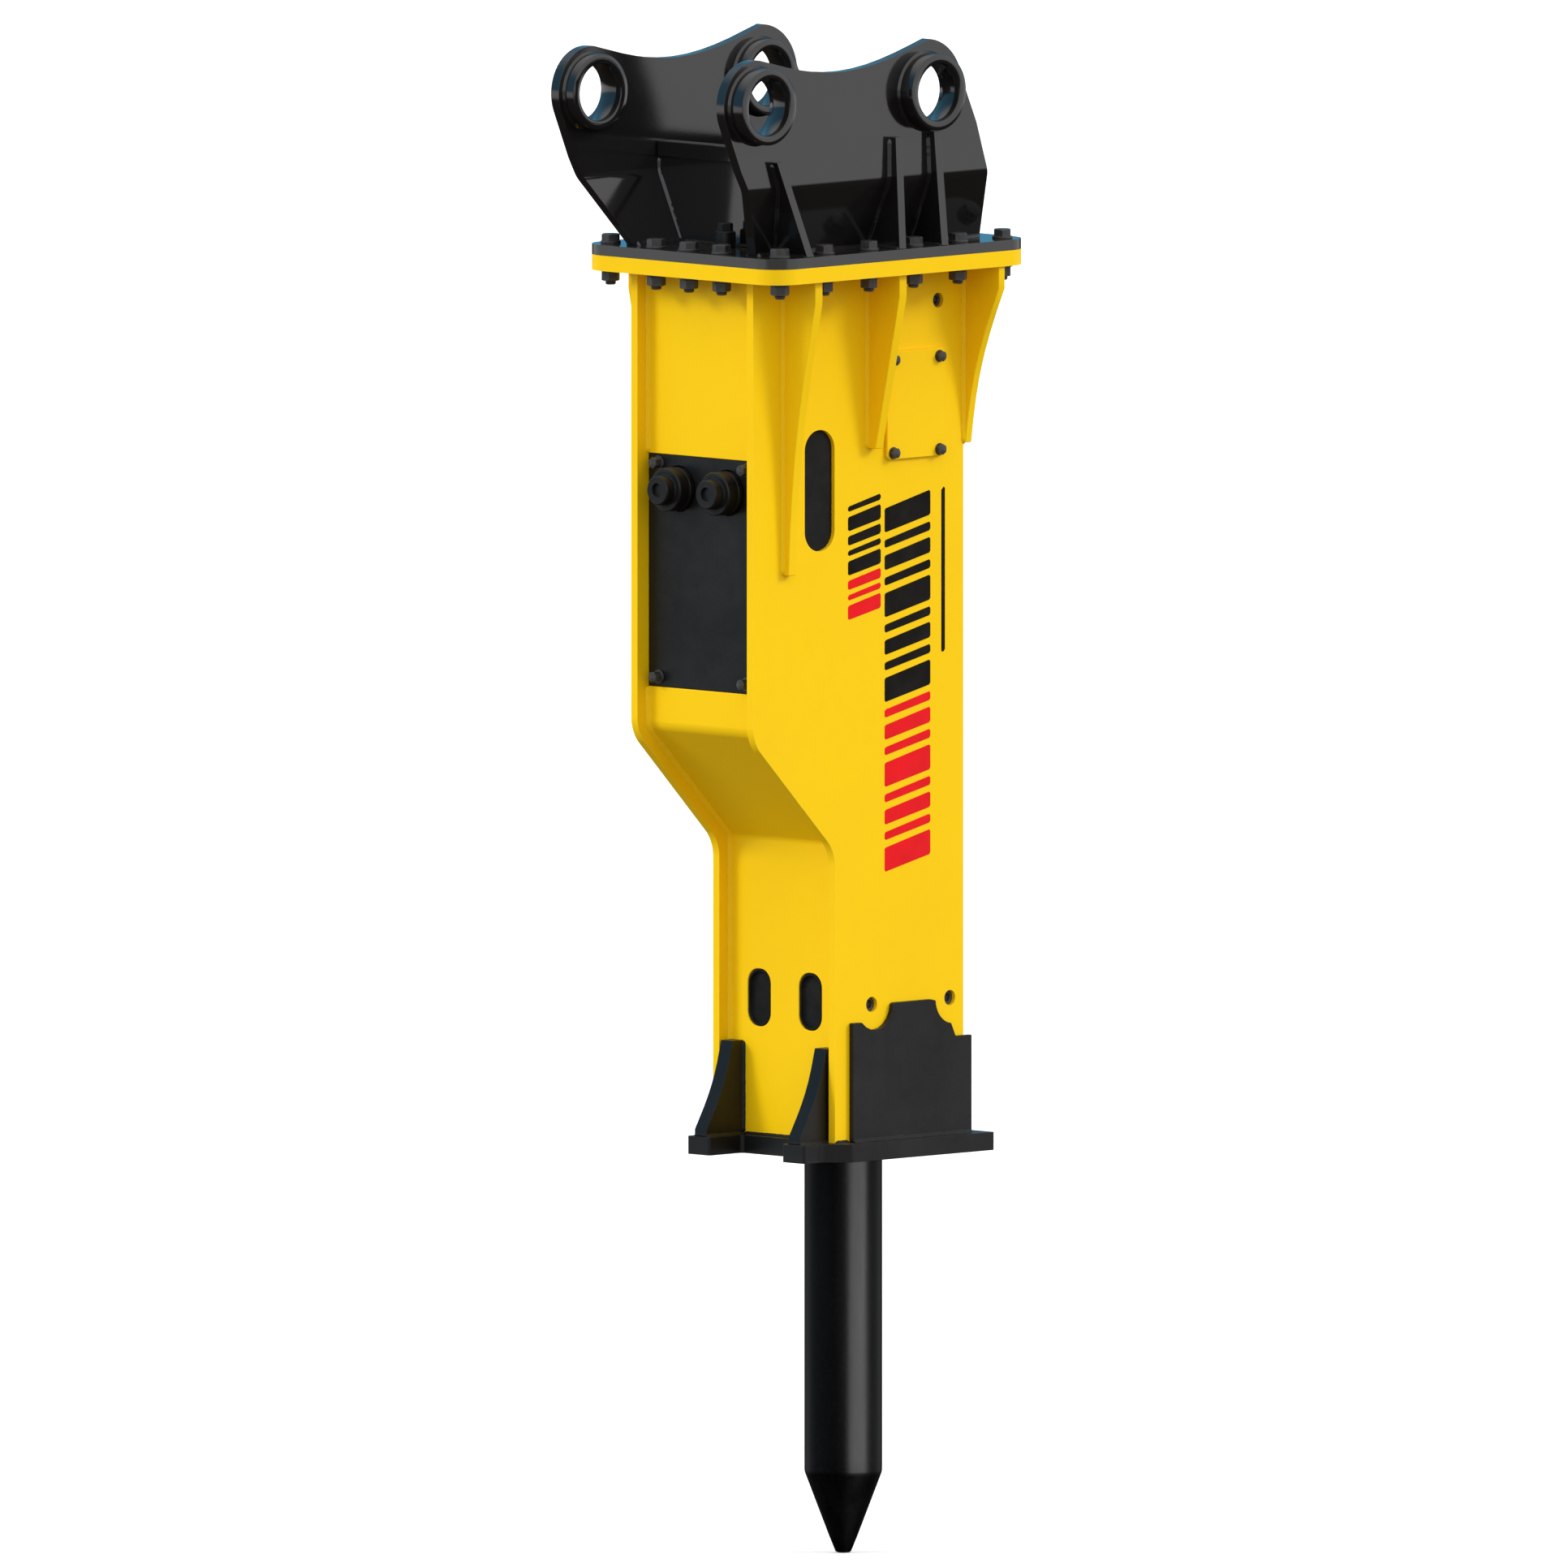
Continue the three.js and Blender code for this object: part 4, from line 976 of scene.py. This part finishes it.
def bracket_welds():
    """Beads of the black bracket."""
    shape = Shape()
    for word, side in SIDES:
        outward = X * side
        bead(shape, lengthwise(side * 163.5, *EAR_ENDS_Y, ON_BASE), outward, Z, 7)
        bead(shape, lengthwise(side * 141.5, *EAR_ENDS_Y, ON_BASE), -outward, Z, 7)
        for top_y, foot_y, top_z in EAR_RIBS[word]:
            for edge in (-1, 1):
                path = []
                for x, z in up_the_ear(EAR_OUTER, top_z - 4):
                    lean = (top_y - foot_y) * (z - EAR_FOOT) / (top_z - EAR_FOOT)
                    path.append(Vector((side * (x + 0.3), foot_y + lean + edge * EAR_RIB_HALF, z)))
                bead(shape, path, outward, Y * edge, 5)
                foot = foot_y + edge * EAR_RIB_HALF
                bead(shape, across(side * 166, side * BASE_REACH, foot, ON_BASE), Y * edge, Z, 5)
        for y, top_z in CROSS_PLATES:
            for edge in (-1, 1):
                path = []
                for x, z in up_the_ear(EAR_INNER, top_z):
                    path.append(Vector((side * (x - 0.6), y + edge * CROSS_HALF, z)))
                bead(shape, path, -outward, Y * edge, 5)
        for y in ARM_PINS_Y:
            ring_bead(shape, side * EAR_FACES["outer"], y, side)
            if side < 0:
                ring_bead(shape, side * EAR_FACES["inner"], y, -side)
    for y, _ in CROSS_PLATES:
        for edge in (-1, 1):
            foot = across(-BETWEEN_SIDES, BETWEEN_SIDES, y + edge * CROSS_HALF, ON_BASE)
            bead(shape, foot, Y * edge, Z, 5.5)
    finish_welds(shape, "bracket_welds", "bracket_paint")


# ---- Decal: a plain slanted stripe pattern in two colours ---------------------------------------

DECAL_THICK = 0.45
DECAL_SUNK = 0.2
BAR_CORNER = 3
BANDS = (
    # front edge, rear edge, bottom, top, where the bars turn black, slant, bars' heights, gap
    (-50, 66, 1239, 1925, 1526, 26, (44, 15, 27, 15), 13),
    (-143, -60, 1699, 1925, 1779, 18, (26, 10, 17), 9),
)
THIN_LINE = {"y0": 94, "y1": 103, "z": 1626, "high": 296, "slant": 3}


def slanted_bar(shape, side, y0, y1, z, high, slant):
    """One bar that rises by slant from its front edge to its rear edge."""
    corner = BAR_CORNER
    ring = (
        (y0, z + corner), (y0 + corner, z + slant * corner / (y1 - y0)), (y1 - corner, z + slant - 1),
        (y1, z + slant + corner), (y1, z + slant + high - corner), (y1 - corner, z + slant + high),
        (y0 + corner, z + high), (y0, z + high - corner),
    )
    middle_y = (y0 + y1) / 2
    rings = []
    for rise, inset in ((-DECAL_SUNK, 0.0), (DECAL_THICK * 0.7, 0.0), (DECAL_THICK, 0.3)):
        points = []
        for y, up in ring:
            inward = inset if y < middle_y else -inset
            points.append(at(side * (SIDE_FACE + rise), y + inward, up) / MM)
        rings.append(points)
    shape.loft(rings)


def decal():
    """Two columns of slanted bars, black above and red below, and one thin upright line."""
    for word, side in SIDES:
        red = Shape()
        black = Shape()
        for y0, y1, low, top, change, slant, bars, gap in BANDS:
            z = low
            i = 0
            while z + bars[i % len(bars)] + slant <= top + 1:
                high = bars[i % len(bars)]
                shape = red if z < change else black
                slanted_bar(shape, side, y0, y1, z, high, slant)
                z += high + gap
                i += 1
        slanted_bar(black, side, **THIN_LINE)
        put(f"stripe_red_{word}", red.mesh(f"stripe_red_{word}"), DECAL_RED)
        put(f"stripe_black_{word}", black.mesh(f"stripe_black_{word}"), DECAL_BLACK)


# ---- Put together -------------------------------------------------------------------------------

flange_bolts()
cover_bolts()
hose_ports()
pin_bosses()
grease_plug()
chisel()
slot_pads()
hole_shade_plugs()
housing_welds()
foot_welds()
bracket_welds()
decal()
for node_name, node in NODES.items():
    if not node.hide_render:
        dress(node_name, node)


# ---- Floor, light and camera ------------------------------------------------------------------

FLOOR_RINGS = (0.5, 3, 15, 150)
FLOOR_GAP = 0.001


def floor():
    """A wide pale disc just under the tool, that sends no light back up."""
    sides = 96
    level = CAD_BOX[0].z - FLOOR_GAP
    shape = Shape()
    for reach in FLOOR_RINGS:
        for i in range(sides):
            a = 2 * math.pi * i / sides
            shape.points.append(Vector((reach * math.cos(a), reach * math.sin(a), level)))
    shape.faces.append(tuple(range(sides)))
    for r in range(len(FLOOR_RINGS) - 1):
        for i in range(sides):
            j = (i + 1) % sides
            shape.faces.append((r * sides + i, r * sides + j, (r + 1) * sides + j, (r + 1) * sides + i))
    mesh = shape.mesh("floor", 1.0)
    mesh.materials.append(studio_floor())
    ground = bpy.data.objects.new("floor", mesh)
    bpy.context.scene.collection.objects.link(ground)
    ground.visible_diffuse = False
    ground.visible_glossy = False
    ground.visible_shadow = False


def from_angles(azimuth, elevation):
    """The direction towards a place so many degrees round from the front and above level."""
    a = azimuth * DEG
    e = elevation * DEG
    return Vector((math.sin(a) * math.cos(e), -math.cos(a) * math.cos(e), math.sin(e)))


def sun(name, azimuth, elevation, strength, spread):
    """A broad soft light from far away, that makes no highlight of its own."""
    light = bpy.data.lights.new(name, "SUN")
    light.energy = strength
    light.angle = spread * DEG
    lamp = bpy.data.objects.new(name, light)
    bpy.context.scene.collection.objects.link(lamp)
    source = from_angles(azimuth, elevation)
    lamp.rotation_euler = (-source).to_track_quat("-Z", "Y").to_euler()
    lamp.visible_glossy = False


def soft_box(name, piece, azimuth, distance, level, width, height, power):
    """A soft box beside the tool, that only makes the long highlight on one piece."""
    light = bpy.data.lights.new(name, "AREA")
    light.shape = "RECTANGLE"
    light.size = width
    light.size_y = height
    light.energy = power
    lamp = bpy.data.objects.new(name, light)
    bpy.context.scene.collection.objects.link(lamp)
    foot = at(0, 0, level)
    lamp.location = foot + distance * from_angles(azimuth, 0)
    lamp.rotation_euler = (foot - lamp.location).to_track_quat("-Z", "Y").to_euler()
    lamp.visible_diffuse = False
    lit = bpy.data.collections.new(name + "_lights_only")
    lit.objects.link(bpy.data.objects[piece])
    lamp.light_linking.receiver_collection = lit


def sky():
    """Soft white room, plain white to the camera.

    What shiny faces mirror of it is cool on the left, dark below and bright beside the object.
    """
    world = bpy.data.worlds.new("studio")
    bpy.context.scene.world = world
    world.use_nodes = True
    nodes = world.node_tree.nodes
    links = world.node_tree.links
    split = nodes.new("ShaderNodeSeparateXYZ")
    links.new(nodes.new("ShaderNodeTexCoord").outputs["Generated"], split.inputs["Vector"])

    def span(value, low, high):
        node = nodes.new("ShaderNodeMapRange")
        node.interpolation_type = "SMOOTHSTEP"
        links.new(value, node.inputs["Value"])
        node.inputs["From Min"].default_value = low
        node.inputs["From Max"].default_value = high
        return node.outputs["Result"]

    def mix(share, a, b):
        node = nodes.new("ShaderNodeMix")
        node.data_type = "RGBA"
        links.new(share, node.inputs["Factor"])
        for socket, value in ((node.inputs["A"], a), (node.inputs["B"], b)):
            if isinstance(value, tuple):
                socket.default_value = (*value, 1)
            else:
                links.new(value, socket)
        return node.outputs["Result"]

    cool = (0.09, 0.36, 0.58)
    white = (1.0, 1.0, 1.0)
    dome = (1.20, 1.20, 1.20)
    dark = (0.03, 0.025, 0.02)
    low_fill = (0.22, 0.21, 0.20)
    back_wall = (0.10, 0.10, 0.10)
    front_wall = (0.50, 0.49, 0.48)
    # From where to where a direction's part along an axis blends one colour into the next.
    dome_foot = (-0.35, 0.1)
    back_to_front = (0.0, 0.8)
    ends_to_sides = (0.7, 1.1)
    left_to_right = (0.1, 0.5)
    horizon = (-0.03, 0.06)
    ceiling = (0.55, 0.95)
    ground = (-0.30, -0.16)
    path = nodes.new("ShaderNodeLightPath")
    soft = mix(span(split.outputs["Z"], *dome_foot), low_fill, dome)
    sideways = nodes.new("ShaderNodeMath")
    sideways.operation = "ADD"
    ahead = nodes.new("ShaderNodeMath")
    ahead.operation = "SUBTRACT"
    for node in (sideways, ahead):
        links.new(split.outputs["X"], node.inputs[0])
        links.new(split.outputs["Y"], node.inputs[1])
    beside = nodes.new("ShaderNodeMath")
    beside.operation = "ABSOLUTE"
    links.new(sideways.outputs["Value"], beside.inputs[0])
    ends = mix(span(ahead.outputs["Value"], *back_to_front), back_wall, front_wall)
    walls = mix(span(beside.outputs["Value"], *ends_to_sides), ends, white)
    mirrored = mix(span(split.outputs["X"], *left_to_right), cool, white)
    mirrored = mix(span(split.outputs["Z"], *horizon), walls, mirrored)
    mirrored = mix(span(split.outputs["Z"], *ceiling), mirrored, white)
    mirrored = mix(span(split.outputs["Z"], *ground), dark, mirrored)
    room = mix(path.outputs["Is Glossy Ray"], soft, mirrored)
    room = mix(path.outputs["Is Camera Ray"], room, white)
    links.new(room, nodes["Background"].inputs["Color"])


FRAME_WIDTH = 2.817
CAMERA_ANGLES = (45, 5.1)
CAMERA_TARGET = Vector((-0.0753, 0.1502, -1.2643))
CAMERA_DISTANCE = 25


def camera():
    """A distant view from the front right corner, almost level, with parallel lines."""
    view = bpy.data.cameras.new("camera")
    view.type = "ORTHO"
    view.ortho_scale = FRAME_WIDTH
    view.clip_end = 400
    eye = bpy.data.objects.new("camera", view)
    bpy.context.scene.collection.objects.link(eye)
    away = from_angles(*CAMERA_ANGLES)
    eye.location = CAMERA_TARGET + away * CAMERA_DISTANCE
    eye.rotation_euler = (-away).to_track_quat("-Z", "Y").to_euler()
    bpy.context.scene.camera = eye


floor()
sun("key_right", azimuth=130, elevation=30, strength=1.35, spread=18)
sun("key_left", azimuth=-40, elevation=30, strength=1.35, spread=18)
soft_box(
    "tool_box", "tool_bar", azimuth=89, distance=3, level=0, width=3.0, height=1.2, power=390,
)
sky()
camera()
bpy.context.scene.view_settings.view_transform = "Standard"
